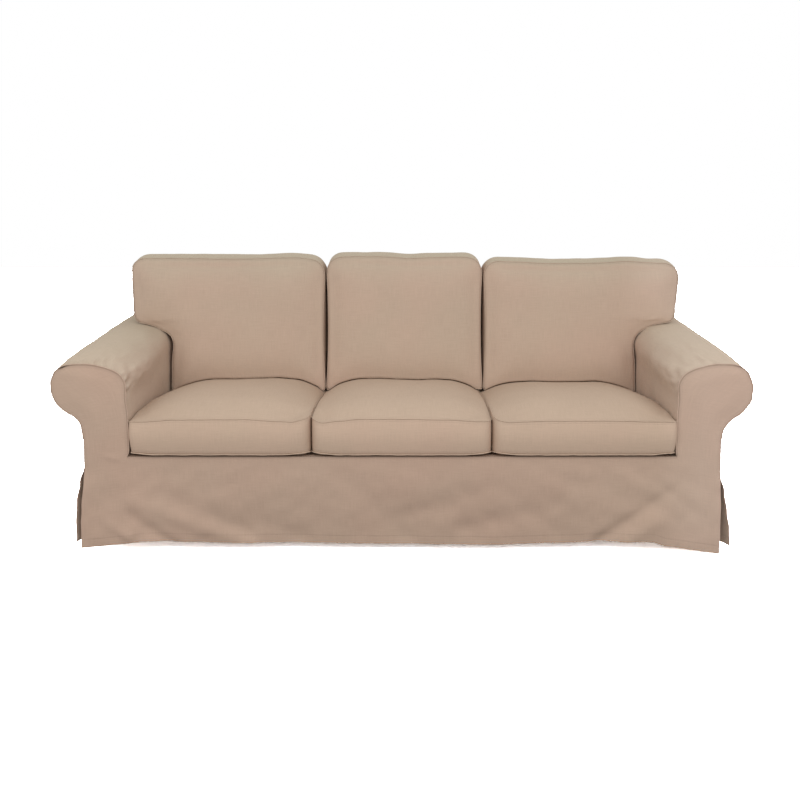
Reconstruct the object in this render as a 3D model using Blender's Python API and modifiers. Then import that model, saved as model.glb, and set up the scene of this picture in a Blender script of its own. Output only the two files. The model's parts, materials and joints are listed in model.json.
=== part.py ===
"""Loose fitted cover of a three-seat sofa with rolled arms, standing as it does on its sofa.

The sofa itself is not modelled: the cover of its frame is hollow cloth, open at the floor.
Six cushions in covers of the same cloth lie on it, three to sit on and three to lean on.

Lengths are metres. The cover is worked out in floor coordinates: x to the right seen from
the front, y backwards from the front of the arms, z up from the floor. A parent empty then
sets the origin under the top of the back, where the sofa carries the cover.
"""

import math

import bmesh
import bpy
from mathutils import Vector

# ---------------------------------------------------------------- driving dimensions

CLOTH = 0.0025             # thickness of the cotton cloth with its seam allowance
GAP = 0.0003               # clearance between two pieces that touch
CLEAR = 0.002              # clearance where cloth passes an edge

SEAT_HALF = 0.858          # centre line to the inner face of an arm
ARM_BODY = 0.138           # thickness of an arm below its roll
REAR_Y = 0.860             # inner face of the outside back
DECK_FRONT_Z = 0.319       # seat deck at the front rail
DECK_BACK_Z = 0.293        # seat deck at the back
DECK_BACK_Y = 0.662        # where the deck meets the inside back

ARM_RISE = 0.064           # the arms climb this much from front to back
ARM_PAD = 0.014            # padding swells the arm behind its front seam
ARM_PAD_REACH = 0.110      # depth over which that swelling builds up

BACK_TOP_Z = 0.810         # top of the frame cover, hidden behind the cushions
BACK_HALF = 0.962          # half width of the back above the arms
BACK_CORNER = 0.060        # radius of its top corners
BACK_LEAN = 0.105          # inside back: metres back for each metre up

SLIT_TOP_Z = 0.270         # the corners of the skirt are open below this
HEM_Z = 0.030              # hem of the sides and the back above the floor
KICK = 0.006               # the skirt stands out this much more at the floor
SIDE_WAVE = 0.005          # the loose side panels swing this far in and out
SIDE_HOLLOW = 0.006        # and draw in this much under the roll
WRAP_TUCK = 0.020          # the inside of an arm runs on this far below the deck

# Outline of an arm seen from the front: out from the inner face, up from the floor.
ARM_OUTLINE = (
    (0.000, 0.423), (0.000, 0.508), (0.009, 0.558), (0.038, 0.590), (0.080, 0.605),
    (0.125, 0.609), (0.170, 0.604), (0.205, 0.583), (0.223, 0.543), (0.218, 0.500),
    (0.193, 0.466), (0.163, 0.442), (0.145, 0.412), (0.138, 0.374),
)
ARM_STEPS = 30             # straight pieces that an arm's outline is drawn with

# Hem of the front, left corner to right corner: across, up from the floor.
FRONT_HEM = (
    (-0.996, 0.023), (-0.905, 0.031), (-0.855, 0.039), (-0.809, 0.044), (-0.460, 0.035),
    (0.056, 0.029), (0.271, 0.026), (0.485, 0.033), (0.640, 0.041), (0.780, 0.042),
    (0.837, 0.027), (0.930, 0.014), (0.984, 0.003),
)

# Free corner edges of the skirt. front: how far the front panel's edge stands out from the
# inner face at its hem; side: the same for the side panel; slit: where the opening starts.
CORNERS = {
    "left": {"front": 0.152, "front_middle": 0.146, "side": 0.165, "slit": 0.286},
    "right": {"front": 0.136, "front_middle": 0.134, "side": 0.173, "slit": 0.255},
}

# Main folds of the front skirt: from (x, z) to (x, z), height (minus is a trough), half width.
SKIRT_FOLDS = (
    ((-0.84, 0.22), (-0.52, 0.05), 0.009, 0.030),
    ((-0.76, 0.24), (-0.50, 0.11), -0.008, 0.032),
    ((-0.82, 0.16), (-0.68, 0.05), -0.009, 0.026),
    ((-0.50, 0.13), (-0.32, 0.05), -0.006, 0.030),
    ((-0.19, 0.26), (0.02, 0.06), -0.007, 0.045),
    ((0.31, 0.22), (0.03, 0.13), -0.007, 0.035),
    ((0.48, 0.16), (0.20, 0.08), -0.007, 0.035),
    ((0.81, 0.20), (0.57, 0.04), -0.012, 0.026),
    ((0.83, 0.15), (0.67, 0.05), 0.009, 0.026),
)

# Seat cushions: left and right side at the seams, and the radii of their front corners.
SEATS = {"left": (-0.8455, -0.2840), "middle": (-0.2818, 0.2792), "right": (0.2814, 0.8480)}
SEAT_FRONT_RADII = {"left": (0.052, 0.036), "middle": (0.036, 0.036), "right": (0.036, 0.052)}
SEAT_REAR_RADIUS = 0.045
SEAT_FRONT_Y = -0.010      # front seams, a little forward of the skirt
SEAT_BACK_Y = 0.655
SEAT_SEAM_UP = 0.112       # upper seam above the deck
SEAT_SIDE_SWELL = 0.011    # the upper side seams arch this much
SEAT_CROWN = 0.052         # middle of the top above the upper seam
# Its box between the seams: share of its width, how far the front swells, height.
SEAT_BOX = (
    (0.5, 0.0, 0.0), (0.955, 0.0, 0.0), (0.985, 0.0, 0.0025), (0.997, 0.0, 0.006),
    (1.0, 0.002, 0.011), (0.998, 0.008, 0.030), (0.997, 0.011, 0.058), (0.998, 0.008, 0.090),
)
SEAT_TOP = (1.0, 0.985, 0.94, 0.86, 0.72, 0.5, 0.25)

# Back cushions stand on the seat cushions and lean on the inside back.
BACK_FOOT_Y = 0.520        # front seam at BACK_FOOT_Z
BACK_FOOT_Z = 0.436
BACK_FRONT_LEAN = 0.150    # front seams: metres back for each metre up
BACK_CORNER_Z = 0.411      # lower corners of its outline, before the foot is pressed flat
SIDE_DRAW = 0.006          # sides pull in between their corners
WAIST_LOW = 0.440          # that starts here
WAIST_TALL = 0.420         # and ends this much higher
FOOT_CLEAR = 0.0044        # a back cushion's foot above the crown it presses on
EAR_Y = 0.600              # depth at which an ear is fitted to the arm under it
EAR_REST = 0.100           # an ear lies on the arm this far out from its inner face
EAR_CLEAR = 0.003          # and this far off it
EAR_ASIDE = 0.006          # a cushion's side stays this far off the inside of an arm

# Outlines: seams at both sides of the body, its top, and the outer corners of an ear.
BACKS = {
    "left": {"side": -0.2810, "top": 0.898, "ear_top": (-0.9900, 0.895),
             "ear_tip": (-0.9820, 0.676)},
    "middle": {"feet": (-0.2755, 0.2935), "shoulders": (-0.2760, 0.2930), "top": 0.905},
    "right": {"side": 0.2975, "top": 0.887, "ear_top": (1.0140, 0.882),
              "ear_tip": (0.9840, 0.676)},
}
FOOT_RADIUS = 0.030        # corners of those outlines: at the foot
TUCK_RADIUS = 0.012        # at the foot beside an arm
SHOULDER_RADIUS = {"left": 0.075, "middle": 0.070, "right": 0.070}
EAR_TOP_RADIUS = 0.055
EAR_TIP_RADIUS = 0.026

# Its box from rear to front: share of its size, of its thickness, and how far the top swells.
BACK_BOX = (
    (0.45, 1.0, 0.0), (0.93, 1.0, 0.0), (0.975, 0.975, 0.0), (0.998, 0.93, 0.002),
    (1.0, 0.87, 0.006), (1.0, 0.55, 0.016), (1.0, 0.20, 0.008), (1.0, 0.03, 0.001),
)
# Its crowned front: share of its size, and how far it stands forward of the front seam.
BACK_FRONT = (
    (0.992, 0.004), (0.96, 0.012), (0.90, 0.020), (0.78, 0.028), (0.58, 0.034), (0.30, 0.036),
)
OUTLINE_STEP = 0.075       # spacing of points along the sides of a cushion's outline
ARC_STEPS = 3              # and steps round each of its corners

COLOUR = {"cover": (0.42, 0.31, 0.24, 1), "cushion": (0.47, 0.35, 0.27, 1)}

MOUNT = Vector((0.0, 0.795, BACK_TOP_Z - CLOTH))

# ---------------------------------------------------------------- small tools


def smoothstep(value, low, high):
    part = min(max((value - low) / (high - low), 0.0), 1.0)
    return part * part * (3.0 - 2.0 * part)


def lerp(first, second, part):
    return first + (second - first) * part


def along(table, position):
    """Read a table of (position, value) rows, eased between neighbours."""
    if position <= table[0][0]:
        return table[0][1]
    for (start, low), (end, high) in zip(table, table[1:]):
        if position <= end:
            return lerp(low, high, smoothstep(position, start, end))
    return table[-1][1]


def smooth_curve(points, count):
    """A curve through the points, as count + 1 places evenly spaced by control point."""
    last = len(points) - 1
    result = []
    for step in range(count + 1):
        position = step / count * last
        index = min(int(position), last - 1)
        t = position - index
        before = Vector(points[max(index - 1, 0)])
        start = Vector(points[index])
        end = Vector(points[index + 1])
        after = Vector(points[min(index + 2, last)])
        result.append(0.5 * (2 * start + (end - before) * t
                             + (2 * before - 5 * start + 4 * end - after) * t * t
                             + (3 * start - before - 3 * end + after) * t ** 3))
    return result


def material(name, colour):
    mat = bpy.data.materials.new(name)
    mat.use_nodes = True
    shader = mat.node_tree.nodes["Principled BSDF"]
    shader.inputs["Base Color"].default_value = colour
    shader.inputs["Roughness"].default_value = 0.92
    shader.inputs["Metallic"].default_value = 0.0
    mat.diffuse_color = colour
    return mat


def add_object(name, mesh, colour, collection, parent):
    mesh.shade_smooth()
    mesh.set_sharp_from_angle(angle=math.radians(40))
    mesh.materials.append(material(name, COLOUR[colour]))
    obj = bpy.data.objects.new(name, mesh)
    obj.parent = parent
    collection.objects.link(obj)
    return obj


def sheet(name, columns, rows, place, collection, parent, inward=-1.0):
    """A cloth panel: a grid laid out by place(column part, row part), then thickened."""
    mesh = bpy.data.meshes.new(name)
    bm = bmesh.new()
    bmesh.ops.create_grid(bm, x_segments=columns, y_segments=rows, size=1.0)
    for vert in bm.verts:
        column = round((vert.co.x + 1.0) / 2.0 * columns) / columns
        row = round((vert.co.y + 1.0) / 2.0 * rows) / rows
        vert.co = place(column, row)
    bm.to_mesh(mesh)
    bm.free()
    obj = add_object(name, mesh, "cover", collection, parent)
    solidify = obj.modifiers.new("Cloth", "SOLIDIFY")
    solidify.thickness = CLOTH
    solidify.offset = inward
    solidify.use_even_offset = True
    return obj


def loft(name, rings, colour, collection, parent):
    """A closed solid through rings of equal count; the first and last ring are filled."""
    mesh = bpy.data.meshes.new(name)
    bm = bmesh.new()
    loops = [[bm.verts.new(point) for point in ring] for ring in rings]
    count = len(loops[0])
    for lower, upper in zip(loops, loops[1:]):
        for index in range(count):
            after = (index + 1) % count
            bm.faces.new((lower[index], lower[after], upper[after], upper[index]))
    for cap in (loops[0], loops[-1]):
        centre = sum((vert.co for vert in cap), Vector()) / count
        middle = bm.verts.new(centre)
        for index in range(count):
            bm.faces.new((cap[index], cap[(index + 1) % count], middle))
    bmesh.ops.recalc_face_normals(bm, faces=bm.faces)
    bm.to_mesh(mesh)
    bm.free()
    return add_object(name, mesh, colour, collection, parent)


def rounded_outline(corners, spacing, arc_steps):
    """A closed outline round (x, z, radius) corners, sides divided at about the spacing."""
    points = []
    count = len(corners)
    arcs = []
    for index, (x, z, radius) in enumerate(corners):
        corner = Vector((x, z))
        before = Vector(corners[index - 1][:2])
        after = Vector(corners[(index + 1) % count][:2])
        arrive = (corner - before).normalized()
        leave = (after - corner).normalized()
        if radius == 0.0:
            arcs.append([corner])
            continue
        reach = radius * math.tan(arrive.angle(leave) / 2.0)
        start = corner - arrive * reach
        end = corner + leave * reach
        arc = []
        for step in range(arc_steps + 1):
            part = step / arc_steps
            first = start.lerp(corner, part)
            second = corner.lerp(end, part)
            arc.append(first.lerp(second, part))
        arcs.append(arc)
    for index, arc in enumerate(arcs):
        points.extend(arc)
        start, end = arc[-1], arcs[(index + 1) % count][0]
        pieces = max(1, round((end - start).length / spacing))
        points.extend(start.lerp(end, step / pieces) for step in range(1, pieces))
    return points


def outward(points):
    """Outward unit normals of a closed outline given anticlockwise in (x, z)."""
    count = len(points)
    normals = []
    for index in range(count):
        run = (points[(index + 1) % count] - points[index - 1]).normalized()
        normals.append(Vector((run.y, -run.x)))
    return normals

# ---------------------------------------------------------------- forms shared by pieces


def deck_z(y):
    return lerp(DECK_FRONT_Z, DECK_BACK_Z, y / DECK_BACK_Y)


def inside_back_y(z):
    """Front face of the inside back at a height."""
    return DECK_BACK_Y + BACK_LEAN * (z - DECK_BACK_Z)


def arm_lift(y, z):
    """The upper part of an arm climbs towards the back."""
    return ARM_RISE * y / REAR_Y * smoothstep(z, DECK_FRONT_Z, 0.50)


def arm_section(y, steps):
    """Outer face of an arm at a depth, inner bottom to outer bottom, as (out, up)."""
    swell = ARM_PAD * (1.0 - math.exp(-max(y, 0.0) / ARM_PAD_REACH))
    points = smooth_curve(ARM_OUTLINE, steps)
    section = []
    for index, point in enumerate(points):
        before = points[max(index - 1, 0)]
        after = points[min(index + 1, steps)]
        run = (after - before).normalized()
        normal = Vector((-run.y, run.x))
        strength = swell * smoothstep(point.y, 0.48, 0.58)
        place = point + normal * strength
        section.append(Vector((place.x, place.y + arm_lift(y, point.y))))
    return section


def skirt_fold(x, z):
    """How far the front skirt stands forward of its plane."""
    total = 0.0
    for start, end, height, half_width in SKIRT_FOLDS:
        start, end = Vector(start), Vector(end)
        run = end - start
        part = (Vector((x, z)) - start).dot(run) / run.length_squared
        nearest = start + run * min(max(part, 0.0), 1.0)
        away = (Vector((x, z)) - nearest).length / half_width
        grow = 0.35 + 0.65 * min(max(part, 0.0), 1.0)
        total += height * grow * math.exp(-away * away)
    return total


def seat_top(name, x, y):
    """Top of a seat cushion above its upper seam, highest in the middle."""
    low, high = SEATS[name]
    across = abs(2.0 * x - low - high) / (high - low)
    depth = abs(2.0 * y - SEAT_FRONT_Y - SEAT_BACK_Y) / (SEAT_BACK_Y - SEAT_FRONT_Y)
    edge = min((across ** 4 + depth ** 4) ** 0.25, 1.0)
    arch = SEAT_SIDE_SWELL * (1.0 - min(depth, 1.0) ** 2)
    return deck_z(y) + SEAT_SEAM_UP + arch + SEAT_CROWN * (1.0 - edge ** 3)


def seat_surface(x, y):
    """Height of the seat cushions under a place, or of their nearest edge beside it."""
    beside = 0.012
    spot = min(max(x, SEATS["left"][0]), SEATS["right"][1])
    return max(seat_top(name, min(max(spot, low), high), y)
               for name, (low, high) in SEATS.items() if low - beside <= spot <= high + beside)

# ---------------------------------------------------------------- panels of the frame cover


def arm_panel(name, side, end_y, facing, hem, edge, collection, parent):
    """The scroll-shaped facing of an arm, with the part of the skirt below it.

    hem(out) is the height of its hem; edge(z) is its free outer edge below the roll.
    """
    sign = -1.0 if side == "left" else 1.0
    section = arm_section(end_y, ARM_STEPS)
    half = ARM_STEPS // 2
    pairs = [(section[index], section[ARM_STEPS - index]) for index in range(half)]
    inner_start, outer_start = pairs[0]
    skirt_rows = 9
    levels = []
    for row in range(skirt_rows, 0, -1):
        part = row / skirt_rows
        inner = Vector((0.0, lerp(inner_start.y, hem(0.0), part)))
        outer_z = lerp(outer_start.y, hem(ARM_BODY), part)
        levels.append((inner, Vector((edge(outer_z), outer_z))))
    levels += pairs
    rows = len(levels) - 1
    columns = 5

    def place(column, row):
        inner, outer = levels[round(row * rows)]
        spot = inner.lerp(outer, column)
        across = sign * (SEAT_HALF + GAP / 2.0 + spot.x)
        kick = KICK * (1.0 - smoothstep(spot.y, 0.0, SLIT_TOP_Z))
        stand = kick + (skirt_fold(across, spot.y) if facing < 0 else 0.0)
        return Vector((across, end_y + facing * (CLOTH + stand), spot.y))

    inward = 1.0 if (sign > 0) == (facing > 0) else -1.0
    return sheet(name, columns, rows, place, collection, parent, inward)


def arm_wrap(side, collection, parent):
    """Inside of an arm, over its top and round its roll, in one length of cloth."""
    sign = -1.0 if side == "left" else 1.0
    columns = 7
    bottom_rows = 2
    rows = ARM_STEPS + bottom_rows

    def place(column, row):
        depth = lerp(GAP, REAR_Y - GAP, column ** 1.5)
        section = arm_section(depth, ARM_STEPS)
        index = round(row * rows) - bottom_rows
        if index < 0:
            low = deck_z(depth) - WRAP_TUCK
            up = lerp(low, section[0].y, (index + bottom_rows) / bottom_rows)
            spot = Vector((0.0, up))
        else:
            spot = section[index]
        return Vector((sign * (SEAT_HALF + spot.x), depth, spot.y))

    return sheet("arm_wrap_" + side, columns, rows, place, collection, parent, sign)


def arm_side(side, collection, parent):
    """Outside of an arm, from under the roll down to the hem, open at its lower corners."""
    sign = -1.0 if side == "left" else 1.0
    corner = CORNERS[side]
    columns, rows = 10, 12

    def place(column, row):
        depth = lerp(GAP, REAR_Y - GAP, column)
        top = arm_section(depth, ARM_STEPS)[-1]
        seam = top.y - GAP
        up = lerp(HEM_Z + 0.004 * math.sin(9.0 * depth), seam, row)
        loose = 1.0 - smoothstep(up, HEM_Z, corner["slit"])
        flare = (corner["side"] - ARM_BODY) * loose
        near_front = 1.0 - smoothstep(depth, 0.0, 0.30)
        near_back = smoothstep(depth, 0.62, REAR_Y)
        wave = SIDE_WAVE * loose * math.sin(14.0 * depth + 1.0)
        rest = lerp(ARM_BODY - SIDE_HOLLOW, top.x, smoothstep(up, 0.25, seam))
        out = rest + flare * (near_front + 0.5 * near_back) + SIDE_HOLLOW * loose + wave
        return Vector((sign * (SEAT_HALF + out), depth, up))

    return sheet("arm_side_" + side, columns, rows, place, collection, parent, -sign)


def seat_deck(collection, parent):
    """The panel under the seat cushions, from the front skirt to the inside back."""
    def place(column, row):
        x = lerp(-1.0, 1.0, column) * (SEAT_HALF - GAP)
        y = lerp(GAP, inside_back_y(deck_z(DECK_BACK_Y)) - GAP, row)
        return Vector((x, y, deck_z(y)))

    return sheet("seat_deck", 10, 4, place, collection, parent)


def front_skirt(collection, parent):
    """The panel below the seat cushions, hanging from the front rail to the hem."""
    columns, rows = 42, 10
    top = DECK_FRONT_Z

    def place(column, row):
        x = lerp(-1.0, 1.0, column) * (SEAT_HALF - GAP / 2.0)
        z = lerp(along(FRONT_HEM, x), top, row)
        kick = KICK * (1.0 - smoothstep(z, 0.0, SLIT_TOP_Z))
        fade = 1.0 - smoothstep(z, top - 0.06, top - 0.004)
        return Vector((x, -CLOTH - kick - skirt_fold(x, z) * fade, z))

    return sheet("front_skirt", columns, rows, place, collection, parent)


def arm_top(out, y):
    """Height of the upper face of an arm, out from its inner face, at a depth."""
    section = arm_section(y, 2 * ARM_STEPS)
    for start, end in zip(section, section[1:]):
        if start.x <= out < end.x:
            return lerp(start.y, end.y, (out - start.x) / (end.x - start.x))
    return section[0].y


def back_corner(steps):
    """Round upper corner of the back, side to top, as (x, z)."""
    points = []
    for step in range(steps + 1):
        angle = step / steps * math.pi / 2.0
        points.append(Vector((BACK_HALF - BACK_CORNER * (1.0 - math.cos(angle)),
                              BACK_TOP_Z - BACK_CORNER * (1.0 - math.sin(angle)))))
    return points


def resampled(points, count):
    """The same polyline with count + 1 places, evenly spaced along it."""
    lengths = [0.0]
    for start, end in zip(points, points[1:]):
        lengths.append(lengths[-1] + (end - start).length)
    result = []
    index = 0
    for step in range(count + 1):
        target = lengths[-1] * step / count
        while index < len(points) - 2 and lengths[index + 1] < target:
            index += 1
        span = lengths[index + 1] - lengths[index]
        result.append(points[index].lerp(points[index + 1], (target - lengths[index]) / span))
    return result


def back_panel(name, depth_at, bottom_z, section_y, collection, parent):
    """A panel across the back: between the arms below, out over the arms above.

    Its lower edge runs along the foot, up the inside of an arm and over its top.
    """
    foot_columns = 6
    inner = SEAT_HALF - CLEAR / 2.0
    lower = [Vector((inner * column / foot_columns, bottom_z))
             for column in range(foot_columns + 1)]
    lower.append(Vector((inner, lerp(bottom_z, 0.40, 0.6))))
    reach = BACK_HALF - SEAT_HALF
    for point in arm_section(section_y, ARM_STEPS):
        if point.x < reach - 0.004:
            aside = CLEAR / 2.0 * (1.0 - smoothstep(point.x, 0.0, 0.03))
            lift = CLEAR / 2.0 * smoothstep(point.x, 0.0, 0.02)
            lower.append(Vector((SEAT_HALF + point.x - aside, point.y + lift)))
    lower.append(Vector((BACK_HALF, arm_top(reach, section_y) + CLEAR / 2.0)))
    last = len(lower) - 1
    upper = resampled([Vector((0.0, BACK_TOP_Z))] + back_corner(4)[::-1], last)
    columns, rows = 2 * last, 6

    def place(column, row):
        index = round(column * columns) - last
        spot = lower[abs(index)].lerp(upper[abs(index)], row)
        return Vector((math.copysign(spot.x, index), depth_at(spot.y), spot.y))

    return sheet(name, columns, rows, place, collection, parent)


def back_band(collection, parent):
    """The band over the back: up one side, across the top and down the other side."""
    columns = 5
    foot = Vector((BACK_HALF, 0.0))
    top_columns = 6
    start = BACK_HALF - BACK_CORNER
    half = [foot] + back_corner(4)
    half += [Vector((lerp(start, 0.0, column / top_columns), BACK_TOP_Z))
             for column in range(1, top_columns + 1)]
    path = half + [Vector((-point.x, point.y)) for point in reversed(half[:-1])]
    rows = len(path) - 1

    def place(column, row):
        spot = path[round(row * rows)]
        foot_y = inside_back_y(BACK_TOP_Z)
        low = arm_top(BACK_HALF - SEAT_HALF, foot_y) + 2.0 * CLEAR
        front_edge = inside_back_y(max(spot.y, low)) + CLOTH + GAP
        depth = lerp(front_edge, REAR_Y - GAP, column)
        up = max(spot.y, arm_top(BACK_HALF - SEAT_HALF, depth) + CLEAR)
        return Vector((spot.x, depth, up))

    return sheet("back_band", columns, rows, place, collection, parent)

# ---------------------------------------------------------------- cushions


def seat_cushion(side, collection, parent):
    """A boxed cushion: flat below, seams all round, a swelling front and a crowned top."""
    low, high = SEATS[side]
    left_radius, right_radius = SEAT_FRONT_RADII[side]
    corners = ((low, SEAT_FRONT_Y, left_radius), (high, SEAT_FRONT_Y, right_radius),
               (high, SEAT_BACK_Y, SEAT_REAR_RADIUS), (low, SEAT_BACK_Y, SEAT_REAR_RADIUS))
    outline = rounded_outline(corners, OUTLINE_STEP, ARC_STEPS)
    normals = outward(outline)
    middle = Vector(((low + high) / 2.0, (SEAT_FRONT_Y + SEAT_BACK_Y) / 2.0))

    def ring(shrink, proud, height):
        points = []
        for place, normal in zip(outline, normals):
            front = max(0.0, -normal.y) ** 2
            spot = middle + (place - middle) * shrink + normal * (proud * front)
            base = deck_z(spot.y) + GAP
            points.append(Vector((spot.x, spot.y, base + height)))
        return points

    def crown(shrink):
        points = []
        for place in outline:
            spot = middle + (place - middle) * shrink
            points.append(Vector((spot.x, spot.y, seat_top(side, spot.x, spot.y) + GAP)))
        return points

    rings = [ring(*row) for row in SEAT_BOX] + [crown(shrink) for shrink in SEAT_TOP]
    return loft("seat_cushion_" + side, rings, "cushion", collection, parent)


def ear_edge(sign):
    """Lower edge of an ear, up the inside of the arm and out over its top, as corners."""
    corners = []
    for point in arm_section(EAR_Y, ARM_STEPS):
        if point.x <= EAR_REST and point.y > 0.5:
            aside = EAR_ASIDE * (1.0 - smoothstep(point.x, 0.0, 0.03))
            lift = EAR_CLEAR * smoothstep(point.x, 0.0, 0.02)
            corners.append((sign * (SEAT_HALF + point.x - aside), point.y + lift, 0.0))
    return corners


def back_outline(side):
    """Seam outline of a back cushion as (x, z, radius), anticlockwise from lower left."""
    shape = BACKS[side]
    foot, top, shoulder = BACK_CORNER_Z, shape["top"], SHOULDER_RADIUS[side]
    if side == "middle":
        (foot_low, foot_high), (low, high) = shape["feet"], shape["shoulders"]
        return [(foot_low, foot, FOOT_RADIUS), (foot_high, foot, FOOT_RADIUS),
                (high, top, shoulder), (low, top, shoulder)]
    beside_arm = SEAT_HALF - EAR_ASIDE
    ear = [shape["ear_top"] + (EAR_TOP_RADIUS,), shape["ear_tip"] + (EAR_TIP_RADIUS,)]
    if side == "left":
        return [(-beside_arm, foot, TUCK_RADIUS), (shape["side"], foot, FOOT_RADIUS),
                (shape["side"], top, shoulder)] + ear + ear_edge(-1.0)[::-1]
    return ([(shape["side"], foot, FOOT_RADIUS), (beside_arm, foot, TUCK_RADIUS)]
            + ear_edge(1.0) + ear[::-1] + [(shape["side"], top, shoulder)])


def back_cushion(side, collection, parent):
    """A leaning cushion, its outer end drawn out into an ear that lies over the arm."""
    corners = back_outline(side)
    outline = rounded_outline(corners, OUTLINE_STEP, ARC_STEPS)
    normals = outward(outline)
    low = min(point.x for point in outline)
    high = max(point.x for point in outline)
    body_low = max(low, -SEAT_HALF)
    body_high = min(high, SEAT_HALF)
    middle = Vector(((body_low + body_high) / 2.0, 0.690))

    def shaped(shrink, proud):
        points = []
        for place, normal in zip(outline, normals):
            spot = middle + (place - middle) * shrink
            rise = (place.y - WAIST_LOW) / WAIST_TALL
            waist = math.sin(math.pi * min(max(rise, 0.0), 1.0))
            draw = SIDE_DRAW * waist * abs(normal.x) ** 3 if abs(place.x) < 0.4 else 0.0
            top = max(0.0, normal.y) ** 2 if place.y > 0.75 else 0.0
            spot = spot - normal * draw + normal * proud * top
            points.append(spot)
        return points

    def settle(spot, depth):
        """Keep the foot on the seat cushions and the ear on the climbing arm."""
        up = spot.y
        floor = seat_surface(spot.x, depth) + FOOT_CLEAR
        up = max(up, floor)
        over_arm = smoothstep(abs(spot.x), SEAT_HALF - 0.02, SEAT_HALF + 0.03)
        low_part = 1.0 - smoothstep(up, 0.66, 0.80)
        up += ARM_RISE * (depth - EAR_Y) / REAR_Y * over_arm * low_part
        return Vector((spot.x, depth, up))

    def ring(shrink, thickness, proud):
        points = []
        for spot in shaped(shrink, proud):
            seam = BACK_FOOT_Y + BACK_FRONT_LEAN * (spot.y - BACK_FOOT_Z)
            rear = inside_back_y(spot.y) - GAP
            depth = lerp(seam, rear, thickness)
            points.append(settle(spot, depth))
        return points

    def crown(shrink, bulge):
        points = []
        for spot in shaped(shrink, 0.0):
            seam = BACK_FOOT_Y + BACK_FRONT_LEAN * (spot.y - BACK_FOOT_Z)
            points.append(settle(spot, seam - bulge))
        return points

    rings = [ring(*row) for row in BACK_BOX] + [crown(*row) for row in BACK_FRONT]
    return loft("back_cushion_" + side, rings, "cushion", collection, parent)

# ---------------------------------------------------------------- the whole cover


def build():
    for obj in list(bpy.data.objects):
        bpy.data.objects.remove(obj, do_unlink=True)
    collection = bpy.data.collections.new("sofa_cover")
    bpy.context.scene.collection.children.link(collection)
    parent = bpy.data.objects.new("under_back_top", None)
    parent.location = -MOUNT
    collection.objects.link(parent)

    def front_hem(sign):
        return lambda out: along(FRONT_HEM, sign * (SEAT_HALF + out))

    def front_edge(corner):
        table = ((0.0, corner["front"]), (0.15, corner["front_middle"]),
                 (corner["slit"], 0.134), (0.40, ARM_BODY))
        return lambda z: along(table, z)

    for side, sign in (("left", -1.0), ("right", 1.0)):
        arm_panel("arm_front_" + side, side, 0.0, -1.0, front_hem(sign),
                  front_edge(CORNERS[side]), collection, parent)
        arm_panel("arm_back_" + side, side, REAR_Y, 1.0, lambda out: HEM_Z,
                  lambda z: ARM_BODY, collection, parent)
        arm_wrap(side, collection, parent)
        arm_side(side, collection, parent)

    front_skirt(collection, parent)
    seat_deck(collection, parent)
    back_panel("inside_back", inside_back_y, DECK_BACK_Z - 0.010, inside_back_y(0.62),
               collection, parent)
    back_panel("outside_back", lambda z: REAR_Y, HEM_Z, REAR_Y, collection, parent)
    back_band(collection, parent)
    for side in ("left", "middle", "right"):
        seat_cushion(side, collection, parent)
        back_cushion(side, collection, parent)


build()
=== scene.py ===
"""Loose cotton cover of a three-seat sofa with rolled arms, and its six cushions.

The cover is put together here as a maker fits it: the panels of the frame cover first, from
the arms to the skirt and the back, then the seat cushions, then the back cushions that lean
on them. Lengths are metres. Places are worked out from the floor and from the plane of the
arms' fronts, and at() turns them into the frame's own coordinates.
"""

import json
import math

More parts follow.
